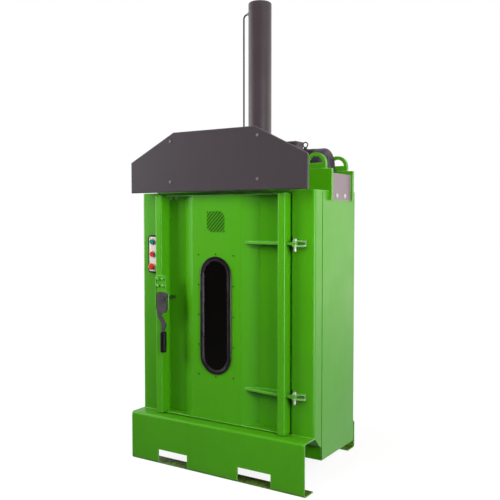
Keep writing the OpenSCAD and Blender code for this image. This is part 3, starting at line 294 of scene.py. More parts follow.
def new_group(name, inputs, outputs):
    """A node group with named sockets: its tree helper, what it is given and its output node."""
    group = bpy.data.node_groups.new(name, "ShaderNodeTree")
    for label, kind, value in inputs:
        socket = group.interface.new_socket(label, in_out="INPUT", socket_type=kind)
        socket.default_value = value
    for label, kind in outputs:
        group.interface.new_socket(label, in_out="OUTPUT", socket_type=kind)
    GROUPS[name] = group
    tree = Tree(group)
    return tree, tree.add("NodeGroupInput").outputs, tree.add("NodeGroupOutput")


def tone_group():
    """Slow patches of lighter and darker tone, with a few long runs down the sheet."""
    tree, given, out = new_group(
        "tone",
        [("Color", COLOR, WHITE), ("Amount", FLOAT, 0.1), ("Size", FLOAT, 0.4)],
        [("Color", COLOR)],
    )
    place = tree.add("ShaderNodeTexCoord").outputs["Object"]
    scale = tree.math("DIVIDE", 1.0, given["Size"])
    patches = tree.add("ShaderNodeTexNoise", Vector=place, Scale=scale, Detail=4.0, Roughness=0.55)
    squash = tree.add("ShaderNodeMapping", Vector=place, Scale=RUN_STRETCH)
    runs = tree.add("ShaderNodeTexNoise", Vector=squash.outputs[0], Scale=RUN_SCALE, Detail=3.0)
    mixed = tree.math("ADD", tree.math("MULTIPLY", patches.outputs[0], PATCH_SHARE),
                      tree.math("MULTIPLY", runs.outputs[0], 1 - PATCH_SHARE))
    low = tree.math("SUBTRACT", 1.0, given["Amount"])
    high = tree.math("ADD", 1.0, given["Amount"])
    factor = tree.span(mixed, low, high, *NOISE_SPAN)
    shade = tree.add("ShaderNodeCombineColor", Red=factor, Green=factor, Blue=factor)
    tree.feed(out, "Color", tree.blend(1.0, given["Color"], shade.outputs[0], "MULTIPLY"))


tone_group()
print("tone group has", len(GROUPS["tone"].nodes), "nodes")

# %% [markdown]
# ## Grain
# Powder coat is slightly pebbled, and drawn metal has fine lines. Both are one noise, which is stretched
# along the piece for the lines. It could be carved into the mesh, but a bump costs nothing and stays the
# same size.

# %% Grain
BROAD_SCALE = 9.0
FINE_SHARE = 0.35


def grain_group():
    """A fine bumpy skin: its height, and a value around 0.5 for the gloss."""
    tree, given, out = new_group(
        "grain",
        [("Size", FLOAT, 0.003), ("Stretch", FLOAT, 1.0)],
        [("Height", FLOAT), ("Gloss", FLOAT)],
    )
    place = tree.add("ShaderNodeTexCoord").outputs["Object"]
    scale = tree.math("DIVIDE", 1.0, given["Size"])
    factors = tree.add("ShaderNodeCombineXYZ", X=1.0, Y=1.0, Z=given["Stretch"])
    drawn = tree.add("ShaderNodeMapping", Vector=place, Scale=factors.outputs[0])
    fine = tree.add("ShaderNodeTexNoise", Vector=drawn.outputs[0], Scale=scale, Detail=2.0, Roughness=0.5)
    broad = tree.add("ShaderNodeTexNoise", Vector=place, Scale=BROAD_SCALE, Detail=3.0)
    tree.feed(out, "Height", fine.outputs[0])
    tree.feed(out, "Gloss", tree.math("ADD", tree.math("MULTIPLY", fine.outputs[0], FINE_SHARE),
                                      tree.math("MULTIPLY", broad.outputs[0], 1 - FINE_SHARE)))


grain_group()
print("grain group has", len(GROUPS["grain"].nodes), "nodes")

# %% [markdown]
# ## Dust
# A press stands among waste, so a brown film lies on its lips and flanges near the floor, and a thin one
# on every face that looks up. The film is worked out from height and from the way a face looks. Painting
# it by hand would have to be done again for each piece.

# %% Dust
DUST_BROWN = linear(92, 72, 48)
FACES_UP = (0.6, 1.0)
SPOT_SCALE = 60.0
SPOT_SPAN = (0.36, 0.62)
FULL_COVER = 0.8
THIN_FILM = 0.2
FLOOR_FILM = 1.2
SIDE_FILM = 0.25


def dust_group():
    """A dull film that is thickest near the floor and on faces that look up."""
    tree, given, out = new_group(
        "dust",
        [("Color", COLOR, WHITE), ("Dust", COLOR, DUST_BROWN), ("Reach", FLOAT, 0.05)],
        [("Color", COLOR), ("Cover", FLOAT)],
    )
    place = tree.add("ShaderNodeTexCoord").outputs["Object"]
    facing = tree.add("ShaderNodeNewGeometry").outputs["Normal"]
    rise = tree.math("DIVIDE", tree.part(place, "Z"), given["Reach"])
    near_floor = tree.math("MAXIMUM", tree.math("SUBTRACT", 1.0, rise))
    up = tree.span(tree.part(facing, "Z"), 0.0, 1.0, *FACES_UP)
    depth = tree.math("ADD", THIN_FILM, tree.math("MULTIPLY", near_floor, FLOOR_FILM))
    film = tree.math("ADD", tree.math("MULTIPLY", up, depth), tree.math("MULTIPLY", near_floor, SIDE_FILM))
    spots = tree.add("ShaderNodeTexNoise", Vector=place, Scale=SPOT_SCALE, Detail=6.0, Roughness=0.7)
    cover = tree.math("MULTIPLY", tree.span(spots.outputs[0], 0.0, FULL_COVER, *SPOT_SPAN), film)
    tree.feed(out, "Color", tree.blend(cover, given["Color"], given["Dust"]))
    tree.feed(out, "Cover", cover)


dust_group()
print("dust group has", len(GROUPS["dust"].nodes), "nodes")

# %% [markdown]
# ## Painted edge highlights and worn edges
# Paint chips first on a sharp edge. A paler colour painted along the edges is a painted highlight, standing
# for the light that a rounded edge catches, and on the vent the same mask paints shade round the slots.
# A Bevel node tells where the edges are: close to one, the rounded normal that it gives differs from the
# real normal. No edge has to be marked, so the effect works on every solid.

# %% Edge highlight and wear
BEVEL_SAMPLES = 4
EDGE_TURN = (0.82, 0.99)
SPECK_SCALE = 85.0
SPECK_SPAN = (0.56, 0.64)


def edge_group():
    """A value along sharp edges, whole for a painted highlight or shade and broken up for chips."""
    tree, given, out = new_group(
        "painted_edge_light_and_wear",
        [("Width", FLOAT, 0.002), ("Amount", FLOAT, 0.5)],
        [("Edge", FLOAT), ("Chip", FLOAT)],
    )
    rounded = tree.add("ShaderNodeBevel", Radius=given["Width"])
    rounded.samples = BEVEL_SAMPLES
    plain = tree.add("ShaderNodeNewGeometry").outputs["Normal"]
    edge = tree.span(tree.measure("DOT_PRODUCT", rounded.outputs[0], plain), 1.0, 0.0, *EDGE_TURN)
    place = tree.add("ShaderNodeTexCoord").outputs["Object"]
    specks = tree.add("ShaderNodeTexNoise", Vector=place, Scale=SPECK_SCALE, Detail=5.0, Roughness=0.65)
    chip = tree.math("MULTIPLY", edge, tree.span(specks.outputs[0], 0.0, 1.0, *SPECK_SPAN))
    tree.feed(out, "Edge", tree.math("MULTIPLY", edge, given["Amount"]))
    tree.feed(out, "Chip", tree.math("MULTIPLY", chip, given["Amount"]))


edge_group()
print("edge group has", len(GROUPS["painted_edge_light_and_wear"].nodes), "nodes")

# %% [markdown]
# ## The vent's slots
# The door has a square field of slanting slots. They look black because the chamber behind them is dark,
# so their cut walls and a thin rim round each slot are painted dark, as painted shade. Pale painted edges
# would hide them, so this group marks the field, where the paint has no pale edges or chips, and the
# walls, which take the painted shade.

# %% Slot shade
SIDEWAYS = 0.5


def slot_group():
    """A value that is 1 within a square field of slots, and one that is 1 on the slots' cut walls."""
    tree, given, out = new_group(
        "slot_shade",
        [("Across", FLOAT, 0.0), ("Height", FLOAT, 1.0), ("Half", FLOAT, 0.07)],
        [("Inside", FLOAT), ("Wall", FLOAT)],
    )
    place = tree.add("ShaderNodeTexCoord").outputs["Object"]
    facing = tree.add("ShaderNodeNewGeometry").outputs["Normal"]

    def within(value, middle, half):
        away = tree.math("ABSOLUTE", tree.math("SUBTRACT", value, middle))
        return tree.math("LESS_THAN", away, half)

    field = tree.math("MULTIPLY", within(tree.part(place, "X"), given["Across"], given["Half"]),
                      within(tree.part(place, "Z"), given["Height"], given["Half"]))
    tree.feed(out, "Inside", field)
    tree.feed(out, "Wall", tree.math("MULTIPLY", field, within(tree.part(facing, "Y"), 0.0, SIDEWAYS)))


slot_group()
print("node groups", sorted(GROUPS))

# %% [markdown]
# ## Finishes
# A finish is one Principled shader. Numbers that are the same all over a piece, such as the strength of
# the clear coat, are set on the shader itself. What changes over the surface comes from the groups:
# colour, gloss and the height that feeds a bump node. Where a sheet is folded, a Bevel node rounds the
# light on the fold, so the solid can stay plain. One function makes every finish, and a paint differs
# from a metal only by its values.

# %% A finish from the groups
# Painted shade for the vent's slot walls and rims.
SLOT_SHADE = linear(12, 20, 8)
GRAIN_DEPTH = 0.4
DUST_DULLS = 0.35


def finish(name, color, rough=(0.3, 0.45), tone=(0.08, 0.4), grain=(0.003, 1.0), bump=0.05, metal=0.0,
           coat=0.0, coat_rough=0.1, spec=0.5, dust=0.0, edge=None, chips=None, slots=None, fold=0.0):
    """A painted, plated or moulded surface with tone, grain, dust, painted edge highlights, painted shade in
    a vent's slots, and worn or rounded edges.
    """
    made = bpy.data.materials.new(name)
    made.use_nodes = True
    tree = Tree(made.node_tree)
    shader = made.node_tree.nodes["Principled BSDF"]
    tree.feed(shader, "Metallic", metal)
    tree.feed(shader, "Coat Weight", coat)
    tree.feed(shader, "Coat Roughness", coat_rough)
    tree.feed(shader, "Specular IOR Level", spec)

    def place(group, **inputs):
        node = tree.add("ShaderNodeGroup")
        node.node_tree = GROUPS[group]
        for label, value in inputs.items():
            tree.feed(node, label, value)
        return node.outputs

    skin = place("grain", Size=grain[0], Stretch=grain[1])
    shown = place("tone", Color=color, Amount=tone[0], Size=tone[1])["Color"]
    gloss = tree.span(skin["Gloss"], *rough, *NOISE_SPAN)
    if slots:
        across, height, half, rim_width = slots
        vent = place("slot_shade", Across=across, Height=height, Half=half)
        rim = place("painted_edge_light_and_wear", Width=rim_width, Amount=vent["Inside"])
        slot_shade_mask = tree.math("MAXIMUM", vent["Wall"], rim["Edge"])
        outside = tree.math("SUBTRACT", 1.0, vent["Inside"])

    def off_slots(value):
        return tree.math("MULTIPLY", outside, value) if slots else value

    # edge paints a paler colour along sharp edges, as a painted highlight.
    if edge:
        edge_highlight = place("painted_edge_light_and_wear", Width=edge[0], Amount=off_slots(edge[1]))
        shown = tree.blend(edge_highlight["Edge"], shown, edge[2])
    if chips:
        worn = place("painted_edge_light_and_wear", Width=chips[0], Amount=off_slots(chips[1]))
        shown = tree.blend(worn["Chip"], shown, chips[2])
    if dust:
        film = place("dust", Color=shown, Reach=dust)
        shown = film["Color"]
        gloss = tree.math("ADD", gloss, tree.math("MULTIPLY", film["Cover"], DUST_DULLS))
    # Painted shade on the vent's slot walls and rims.
    if slots:
        shown = tree.blend(slot_shade_mask, shown, SLOT_SHADE)
    relief = tree.add("ShaderNodeBump", Height=skin["Height"], Strength=bump,
                      Distance=grain[0] * GRAIN_DEPTH)
    if fold:
        rounded = tree.add("ShaderNodeBevel", Radius=off_slots(fold))
        rounded.samples = BEVEL_SAMPLES
        tree.feed(relief, "Normal", rounded.outputs[0])
    tree.feed(shader, "Base Color", shown)
    tree.feed(shader, "Roughness", gloss)
    tree.feed(shader, "Normal", relief.outputs[0])
    return made


print("a finish draws on", len(GROUPS), "node groups")

# %% [markdown]
# ## Green powder coat
# The body is powder coated: dry paint is blown on and baked to a tough, slightly pebbled film with a soft
# gloss. A paler green painted along its folds and edges is a painted highlight. Three coats share its
# values:
# the plain one, the door's with its vent painted dark as shade, and the hinge brackets', whose edges take a
# stronger painted highlight and are chipped almost bare. A coat that took its wear from a painted picture
# would fit one piece only.

# %% Green powder coat
BARE_STEEL = linear(150, 148, 142)
PALE_PRIMER = linear(168, 176, 150)
# The vent's field; VENT_RIM is the width of the painted shade round each slot.
VENT_X = sum(corner.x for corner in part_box("window_gasket")) / 2
VENT_Z = 1.457
VENT_HALF = 0.066
VENT_RIM = 0.004

# edge is a paler green painted along folds and edges as a highlight; chips are worn paint over primer.
POWDER_COAT = dict(color=linear(70, 154, 8), rough=(0.30, 0.44), tone=(0.06, 0.55), grain=(0.0032, 1.0),
                   bump=0.08, spec=0.42, dust=0.05, edge=(0.005, 0.8, linear(160, 228, 136)),
                   chips=(0.003, 0.5, PALE_PRIMER), fold=0.004)
# The hinge brackets take a stronger painted edge highlight and chips down to bare steel.
BARE_AND_HIGHLIT_EDGES = dict(POWDER_COAT, edge=(0.007, 1.0, linear(206, 226, 194)), chips=(0.005, 0.9, BARE_STEEL))

GREEN = finish("green_powder_coat", **POWDER_COAT)
DOOR_GREEN = finish("green_door_coat", **POWDER_COAT, slots=(VENT_X, VENT_Z, VENT_HALF, VENT_RIM))
WORN_HIGHLIT_GREEN = finish("green_worn_highlit_coat", **BARE_AND_HIGHLIT_EDGES)
print("green coats", GREEN.name, DOOR_GREEN.name, WORN_HIGHLIT_GREEN.name)

# %% [markdown]
# ## Grey paints
# The hood and the hydraulics have a dark grey satin paint, the end covers a pale mauve one, and the motor
# a rough coat over its casting. One grey for all of them would be quicker, but in the photograph each
# throws the light back in its own way. The lever's paint is rubbed down to a rusty brown where hands and
# the door touch it.

# %% Grey paints
SCUFFED = linear(170, 165, 165)

# The hood's paler edge colour is a painted highlight.
HOOD_GREY = finish("hood_grey_paint", linear(62, 56, 60), rough=(0.40, 0.52), tone=(0.07, 0.5),
                   grain=(0.0025, 1.0), bump=0.08, spec=0.3,
                   edge=(0.005, 0.5, linear(150, 145, 148)), chips=(0.003, 0.5, SCUFFED))
BARREL_GREY = finish("barrel_grey_paint", linear(64, 55, 59), rough=(0.30, 0.44), tone=(0.12, 0.18),
                     grain=(0.006, 0.08), bump=0.12, spec=0.45, chips=(0.003, 0.5, linear(160, 155, 155)))
# The hood's bolts wear the hood's paint, made lighter as a painted highlight on their heads.
HIGHLIT_BOLT_GREY = finish("hood_bolt_highlit_paint", linear(112, 105, 109), rough=(0.36, 0.5), tone=(0.08, 0.05),
                   grain=(0.0015, 1.0), bump=0.08, spec=0.3, chips=(0.002, 0.5, SCUFFED))
# The end covers' near-white edge colour is a painted highlight.
COVER_GREY = finish("cover_mauve_paint", linear(138, 122, 132), rough=(0.3, 0.45), tone=(0.06, 0.3),
                    grain=(0.0025, 1.0), bump=0.08, spec=0.2, edge=(0.005, 0.6, linear(222, 216, 214)))
MOTOR_PAINT = finish("motor_cast_paint", linear(58, 50, 60), rough=(0.35, 0.55), tone=(0.1, 0.12),
                     grain=(0.002, 1.0), bump=0.25, spec=0.2, chips=(0.002, 0.4, BARE_STEEL), dust=0.01)
LEVER_PAINT = finish("lever_grey_paint", linear(72, 66, 71), rough=(0.36, 0.52), tone=(0.26, 0.04),
                     grain=(0.002, 1.0), bump=0.12, spec=0.25, chips=(0.004, 0.9, linear(150, 92, 72)))
GREYS = (HOOD_GREY, BARREL_GREY, HIGHLIT_BOLT_GREY, COVER_GREY, MOTOR_PAINT, LEVER_PAINT)
print("grey paints", [coat.name for coat in GREYS])

# %% [markdown]
# ## Metals
# Hinge pins and bolts are zinc plated: pale, dull and a little cloudy, so the plate is only partly
# metallic. Machined steel has fine lines along its length, and the piston rod is ground almost to a
# mirror.

# %% Metals
ZINC = finish("zinc_plate", linear(200, 202, 196), rough=(0.32, 0.48), tone=(0.14, 0.03),
              grain=(0.0016, 1.0), bump=0.08, metal=0.65)
DARK_ZINC = finish("blackened_screws", linear(34, 32, 30), rough=(0.38, 0.55), tone=(0.12, 0.02),
                   grain=(0.001, 1.0), bump=0.08, spec=0.2)
STEEL = finish("machined_steel", linear(165, 166, 168), rough=(0.22, 0.34), tone=(0.06, 0.05),
               grain=(0.0012, 0.06), bump=0.06, metal=1.0)
CHROME = finish("ground_rod", linear(210, 212, 215), rough=(0.06, 0.12), tone=(0.03, 0.1),
                grain=(0.001, 0.05), bump=0.02, metal=1.0)
print("metals", [coat.name for coat in (ZINC, DARK_ZINC, STEEL, CHROME)])

# %% [markdown]
# ## Rubber and plastic
# The gasket is black rubber, and a paler colour painted along its lips is a painted highlight. The
# control plate is a cream moulding, and its buttons have a clear glossy skin over a strong colour, which
# the shader's coat gives without a second material.

# %% Rubber and plastic
# The gasket's paler edge colour is a painted highlight on its lips.
RUBBER = finish("gasket_rubber", linear(18, 15, 17), rough=(0.22, 0.36), tone=(0.15, 0.08),
                grain=(0.0012, 1.0), bump=0.06, spec=0.36, edge=(0.0035, 0.85, linear(150, 126, 148)))
HOSE = finish("hose_rubber", linear(30, 29, 30), rough=(0.4, 0.6), tone=(0.12, 0.06),
              grain=(0.002, 1.0), bump=0.15, spec=0.3)
BLACK_PLASTIC = finish("black_moulding", linear(16, 15, 16), rough=(0.38, 0.52), tone=(0.1, 0.05),
                       grain=(0.0009, 1.0), bump=0.18, spec=0.18)
CREAM_PLASTIC = finish("cream_moulding", linear(226, 214, 204), rough=(0.36, 0.5), tone=(0.05, 0.05),
                       grain=(0.0009, 1.0), bump=0.1)
TEAL_PLASTIC = finish("teal_button", linear(20, 128, 118), rough=(0.16, 0.28), tone=(0.05, 0.02),
                      grain=(0.0008, 1.0), bump=0.05, coat=0.4, coat_rough=0.05)
RED_PLASTIC = finish("red_button", linear(206, 44, 34), rough=(0.18, 0.3), tone=(0.05, 0.02),
                     grain=(0.0008, 1.0), bump=0.05, coat=0.4, coat_rough=0.06)
MOULDED = (RUBBER, HOSE, BLACK_PLASTIC, CREAM_PLASTIC, TEAL_PLASTIC, RED_PLASTIC)
print("mouldings", [coat.name for coat in MOULDED])

# %% [markdown]
# ## The window
# The window is smoked clear sheet over a dark chamber. A black surface would do for one photograph, but
# when the door stands open light comes through the sheet, so it keeps some transmission.

# %% Window
PANE_CLEAR = 0.3
PANE_IOR = 1.45

PANE = finish("smoked_sheet", linear(6, 5, 4), rough=(0.05, 0.12), tone=(0.2, 0.1),
              grain=(0.02, 1.0), bump=0.01, spec=0.1)
pane_shader = PANE.node_tree.nodes["Principled BSDF"]
pane_shader.inputs["Transmission Weight"].default_value = PANE_CLEAR
pane_shader.inputs["IOR"].default_value = PANE_IOR
print("window lets", PANE_CLEAR, "of the light through")

# %% [markdown]
# ## Painting the solids
# Each solid is named for what it is, so the finish of a piece can be looked up by its name. A list per
# finish is easier to check against the photograph than a chain of tests.

# %% Assign finishes to the solids
WEARS = {
    GREEN: """front_skirt rear_foot lower_front_panel chamber_floor floor_channels left_side_panel
        right_side_panel back_panel back_ribs left_post right_post top_deck front_beam rear_beam lifting_lugs
        left_stile right_stile door_rails hinge_ribs latch_plate platen""",
    WORN_HIGHLIT_GREEN: "hinge_brackets",
    DOOR_GREEN: "door_skin",
    HOOD_GREY: "hood_plate hood_arms",
    HIGHLIT_BOLT_GREY: "hood_bolts",
    COVER_GREY: "end_covers",
    BARREL_GREY: """cylinder_barrel cylinder_cap cylinder_flange pressure_pipe lower_pipe pump_pipe
        oil_tank pump bellhousing motor_plinth""",
    MOTOR_PAINT: "motor_body fan_cowl terminal_box motor_eyebolt",
    LEVER_PAINT: "latch_lever",
    ZINC: "end_cover_bolts cylinder_bolts pipe_fittings hinge_pins",
    STEEL: "rod_gland valve_block latch_tongue",
    CHROME: "piston_rod",
    RUBBER: "window_gasket",
    HOSE: "suction_pipe",
    PANE: "window_pane",
    BLACK_PLASTIC: "tank_filler control_housing latch_grip",
    CREAM_PLASTIC: "control_plate",
    TEAL_PLASTIC: "start_button",
    RED_PLASTIC: "stop_button estop_button",
}
for coat, names in WEARS.items():
    for name in names.split():
        nodes[name].data.materials.clear()
        nodes[name].data.materials.append(coat)
print("painted", sum(len(names.split()) for names in WEARS.values()), "of", len(nodes))

# %% [markdown]
# ## Small pieces
# Every small piece below goes the same way from a bmesh to an object: doubles are merged, the faces are
# turned outwards, the edges sharper than an angle stay crisp, and the object rides on the body that
# carries it. One helper does that, so no piece can miss a step.

# %% From mesh to piece
FRONT = Vector((0, -1, 0))
RIGHT = Vector((1, 0, 0))
UP = Vector((0, 0, 1))
CRISP_DEGREES = 32
SAME_PLACE = 1e-6


def piece(name, shape, coat, body):
    """An object that wears a finish and rides on a body."""
    bmesh.ops.remove_doubles(shape, verts=shape.verts, dist=SAME_PLACE)
    bmesh.ops.recalc_face_normals(shape, faces=shape.faces)
    mesh = bpy.data.meshes.new(name)
    shape.to_mesh(mesh)
    shape.free()
    mesh.shade_smooth()
    mesh.set_sharp_from_angle(angle=math.radians(CRISP_DEGREES))
    mesh.materials.append(coat)
    made = bpy.data.objects.new(name, mesh)
    scene.collection.objects.link(made)
    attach(made, body)
    print(name, "has", len(mesh.polygons), "faces and rides on", body)


def turned(place, facing):
    """The matrix that takes +Z to a direction and the origin to a place."""
    return Matrix.Translation(place) @ Vector(facing).to_track_quat("Z", "Y").to_matrix().to_4x4()


def outermost(made, facing):
    """The face of a new shape that lies furthest along a direction."""
    faces = {face for vert in made["verts"] for face in vert.link_faces}
    return max(faces, key=lambda face: face.calc_center_median().dot(Vector(facing)))


print("edges sharper than", CRISP_DEGREES, "degrees stay crisp")

# %% [markdown]
# ## Screws round the window
# The window's gasket is held in a frame behind the door, and twelve small dark screws show round it: five
# down each side and one above and below. Their places are counted from the gasket's own box, so they
# follow the window. A screw reads as a screw because of its drive and its edge, not because of its size,
# so each is a short cone whose top is inset and pushed in.

# %% Window screws
SCREW_TALL = 0.6
SCREW_TAPER = 0.78
SOCKET_RIM = 0.34
SOCKET_DEEP = 0.55
WINDOW_SCREW_R = 0.0046
WINDOW_SCREW_OUT = 0.014
WINDOW_SCREW_PITCH = 0.1755


def socket_screw(shape, place, facing, radius):
    """A low round head with a socket, in shares of its radius and height."""
    tall = SCREW_TALL * radius
    spot = turned(place, facing) @ Matrix.Translation((0, 0, tall / 2))
    made = bmesh.ops.create_cone(shape, cap_ends=True, segments=16, radius1=radius,
                                 radius2=SCREW_TAPER * radius, depth=tall, matrix=spot)
    top = outermost(made, facing)
    bmesh.ops.inset_region(shape, faces=[top], thickness=SOCKET_RIM * radius)
    bmesh.ops.translate(shape, verts=top.verts, vec=-SOCKET_DEEP * tall * Vector(facing))


gasket_low, gasket_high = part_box("window_gasket")
crown_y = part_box("door_skin")[0].y
window_mid = (gasket_low + gasket_high) / 2

shape = bmesh.new()
for row in range(-2, 3):
    for x in (gasket_low.x - WINDOW_SCREW_OUT, gasket_high.x + WINDOW_SCREW_OUT):
        place = (x, crown_y, window_mid.z + row * WINDOW_SCREW_PITCH)
        socket_screw(shape, place, FRONT, WINDOW_SCREW_R)
for z in (gasket_low.z - WINDOW_SCREW_OUT, gasket_high.z + WINDOW_SCREW_OUT):
    socket_screw(shape, (window_mid.x, crown_y, z), FRONT, WINDOW_SCREW_R)
piece("window_screws", shape, DARK_ZINC, "door")

# %% [markdown]
# ## Bolts on the door
# Two bright bolts hold the door's top stiffener in the left recess, and four painted bolts hold the latch
# plate on the stile. The painted ones take the body's green, because they were sprayed with it. A bolt is
# a washer under a six-sided head whose top corners are bevelled. A ball on a plate would be quicker, but
# it would look like a rivet.

# %% Door bolts
WASHER_WIDE = 1.4
WASHER_TOP = 1.34
WASHER_TALL = 0.22
HEAD_TALL = 0.7
CORNER_CUT = 0.16
RECESS_Y = -0.326
TOP_BOLT_R = 0.0062
TOP_BOLT_X = (-0.396, -0.354)
TOP_BOLT_Z = 1.600
PLATE_BOLT_R = 0.0065
PLATE_BOLT_IN = (0.016, 0.056)
PLATE_BOLT_DOWN = (0.020, 0.062)


def hex_bolt(shape, place, facing, radius):
    """A washer and a hexagon head with its top corners turned off, in shares of the head's radius."""
    disc = WASHER_TALL * radius
    head = HEAD_TALL * radius
    spot = turned(place, facing)
    bmesh.ops.create_cone(shape, cap_ends=True, segments=24, radius1=WASHER_WIDE * radius,
                          radius2=WASHER_TOP * radius, depth=disc,
                          matrix=spot @ Matrix.Translation((0, 0, disc / 2)))
    made = bmesh.ops.create_cone(shape, cap_ends=True, segments=6, radius1=radius, radius2=radius,
                                 depth=head, matrix=spot @ Matrix.Translation((0, 0, disc + head / 2)))
    top = outermost(made, facing)
    bmesh.ops.bevel(shape, geom=list(top.edges), offset=CORNER_CUT * radius, offset_type="OFFSET",
                    affect="EDGES", segments=2, profile=0.5, material=-1)


plate_low, plate_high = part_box("latch_plate")

shape = bmesh.new()
for x in TOP_BOLT_X:
    hex_bolt(shape, (x, RECESS_Y, TOP_BOLT_Z), FRONT, TOP_BOLT_R)
piece("door_top_bolts", shape, ZINC, "door")

shape = bmesh.new()
for inwards in PLATE_BOLT_IN:
    for down in PLATE_BOLT_DOWN:
        hex_bolt(shape, (plate_low.x + inwards, plate_low.y, plate_high.z - down), FRONT, PLATE_BOLT_R)
piece("latch_plate_bolts", shape, GREEN, "door")

# %% [markdown]
# ## Weld runs on the door
# The hinge ribs and the latch plate are welded, and a weld shows as a thin wavy thread in the corner.
# Each run here starts as a small disc that is extruded along the corner in short steps, and every other
# step is drawn in a little, as drops of weld metal overlap. A smooth tube would look like a bead of
# sealant.

# %% Welds on the door
WELD_THICK = 0.4
DROP_LENGTH = 1.5
LEAST_DROPS = 3
SWELL = 1.25
DRAW_IN = 0.8
WELD = 0.006
PLATE_WELD = 0.005
HAT_FOOT_X = 0.2415
CHEEK_TOP = Vector((0.170, -0.3715))
RIB_HALF = 0.007
PLATE_STEP = 0.094
PLATE_DEEP = 0.005
PLATE_END = 0.01


def weld(shape, start, end, size=WELD):
    """A wavy thread of weld metal from start to end."""
    start, end = Vector(start), Vector(end)
    run = end - start
    steps = 2 * max(LEAST_DROPS, round(run.length / (DROP_LENGTH * size)))
    disc = bmesh.ops.create_circle(shape, cap_ends=True, segments=8, radius=WELD_THICK * size,
                                   matrix=turned(start, run))
    tip = disc["verts"][0].link_faces[0]
    for step in range(steps):
        grown = bmesh.ops.extrude_face_region(shape, geom=[tip])["geom"]
        tip = next(item for item in grown if isinstance(item, bmesh.types.BMFace))
        bmesh.ops.translate(shape, verts=tip.verts, vec=run / steps)
        draw = SWELL if step % 2 == 0 else DRAW_IN
        centre = Matrix.Translation(-tip.calc_center_median())
        bmesh.ops.scale(shape, verts=tip.verts, vec=(draw, draw, draw), space=centre)


stile_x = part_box("right_stile")[0].x
rib_low, rib_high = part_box("hinge_ribs")

shape = bmesh.new()
for middle in (rib_low.z + RIB_HALF, rib_high.z - RIB_HALF):
    for z in (middle - RIB_HALF, middle + RIB_HALF):
        weld(shape, (HAT_FOOT_X, RECESS_Y, z), (stile_x, RECESS_Y, z))
        weld(shape, (CHEEK_TOP.x, CHEEK_TOP.y, z), (HAT_FOOT_X, RECESS_Y, z))
piece("rib_welds", shape, GREEN, "door")

shape = bmesh.new()
weld_y = plate_low.y + PLATE_DEEP
for x, top in ((plate_low.x, plate_high.z), (plate_high.x, plate_high.z - PLATE_STEP)):
    weld(shape, (x, weld_y, plate_low.z + PLATE_END), (x, weld_y, top - PLATE_END), PLATE_WELD)
piece("latch_plate_welds", shape, GREEN, "door")

# %% [markdown]
# ## Welds on the deck and the body
# The lifting lugs carry the whole machine, so they are welded on both faces of their beam. The beams sit
# on the deck with short runs and gaps, which is how long seams are welded to keep thin sheet flat.

# %% Welds on the body
LUG_W = 0.132
LUG_END = 0.004
STITCH = 0.06
STITCH_PITCH = 0.19
POST_WELD = 0.007
POST_END = 0.012

lug_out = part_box("lifting_lugs")[1].x
deck_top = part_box("cylinder_flange")[0].z
skirt_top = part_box("front_skirt")[1].z

shape = bmesh.new()
for beam in ("front_beam", "rear_beam"):
    low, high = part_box(beam)
    for y in (low.y, high.y):
        for side in (-1, 1):
            near = side * (lug_out - LUG_W + LUG_END)
            weld(shape, (near, y, high.z), (side * (lug_out - LUG_END), y, high.z))
        for stitch in range(-2, 3):
            x = stitch * STITCH_PITCH
            weld(shape, (x - STITCH / 2, y, deck_top), (x + STITCH / 2, y, deck_top))
piece("beam_welds", shape, GREEN, "frame")

shape = bmesh.new()
for post in ("left_post", "right_post"):
    low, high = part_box(post)
    weld(shape, (low.x + POST_END, low.y, skirt_top), (high.x - POST_END, low.y, skirt_top), POST_WELD)
piece("post_welds", shape, GREEN, "frame")

# %% [markdown]
# ## Seams on the sides
# Each side panel meets its post in a folded seam, which reads as one dark upright line. A slim round bead
# of paint-filled sealant, extruded up the seam and half sunk in it, gives the line its real depth, and the
# bead's darker green is painted shade for the seam.

# %% Side seams
SEAM_Y = -0.262
SEAM_R = 0.0022
SEAM_END = 0.01
# The seam's darker green is painted shade.
SEAM_SHADE_GREEN = finish("seam_sealant_shade", linear(58, 122, 14), rough=(0.4, 0.55), tone=(0.1, 0.2),
                    grain=(0.002, 1.0), bump=0.1, spec=0.2)

shape = bmesh.new()
for panel, face in (("left_side_panel", 0), ("right_side_panel", 1)):
    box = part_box(panel)
    foot = Vector((box[face].x, SEAM_Y, box[0].z + SEAM_END))
    disc = bmesh.ops.create_circle(shape, cap_ends=True, segments=12, radius=SEAM_R, matrix=turned(foot, UP))
    grown = bmesh.ops.extrude_face_region(shape, geom=[disc["verts"][0].link_faces[0]])["geom"]
    tip = [item for item in grown if isinstance(item, bmesh.types.BMVert)]
    bmesh.ops.translate(shape, verts=tip, vec=UP * (box[1].z - box[0].z - 2 * SEAM_END))
piece("side_seams", shape, SEAM_SHADE_GREEN, "frame")

# %% [markdown]
# ## Collars and screws on the control plate
# Each push button stands in a bright round collar, and four small screws hold the plate. A ring of round
# section is a small circle spun once round an axis. A torus from the menu would give the same shape, but
# a spin starts from the section that the ring really has.

# %% Collars and control plate screws
COLLAR_GAP = 0.0012
COLLAR_WIRE = 0.0020
PANEL_SCREW_R = 0.003
PANEL_SCREW_X = 0.006
PANEL_SCREW_Z = 0.008


def hoop(shape, place, facing, radius, wire, steps=48):
    """A ring of round section about an axis through place."""
    spot = turned(place, facing) @ Matrix.Translation((radius, 0, 0)) @ Matrix.Rotation(math.pi / 2, 4, "X")
    ring = bmesh.ops.create_circle(shape, segments=8, radius=wire, matrix=spot)["verts"]
    edges = list({edge for vert in ring for edge in vert.link_edges})
    bmesh.ops.spin(shape, geom=ring + edges, cent=place, axis=facing, angle=math.tau, steps=steps,
                   use_merge=True)


panel_low, panel_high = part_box("control_plate")

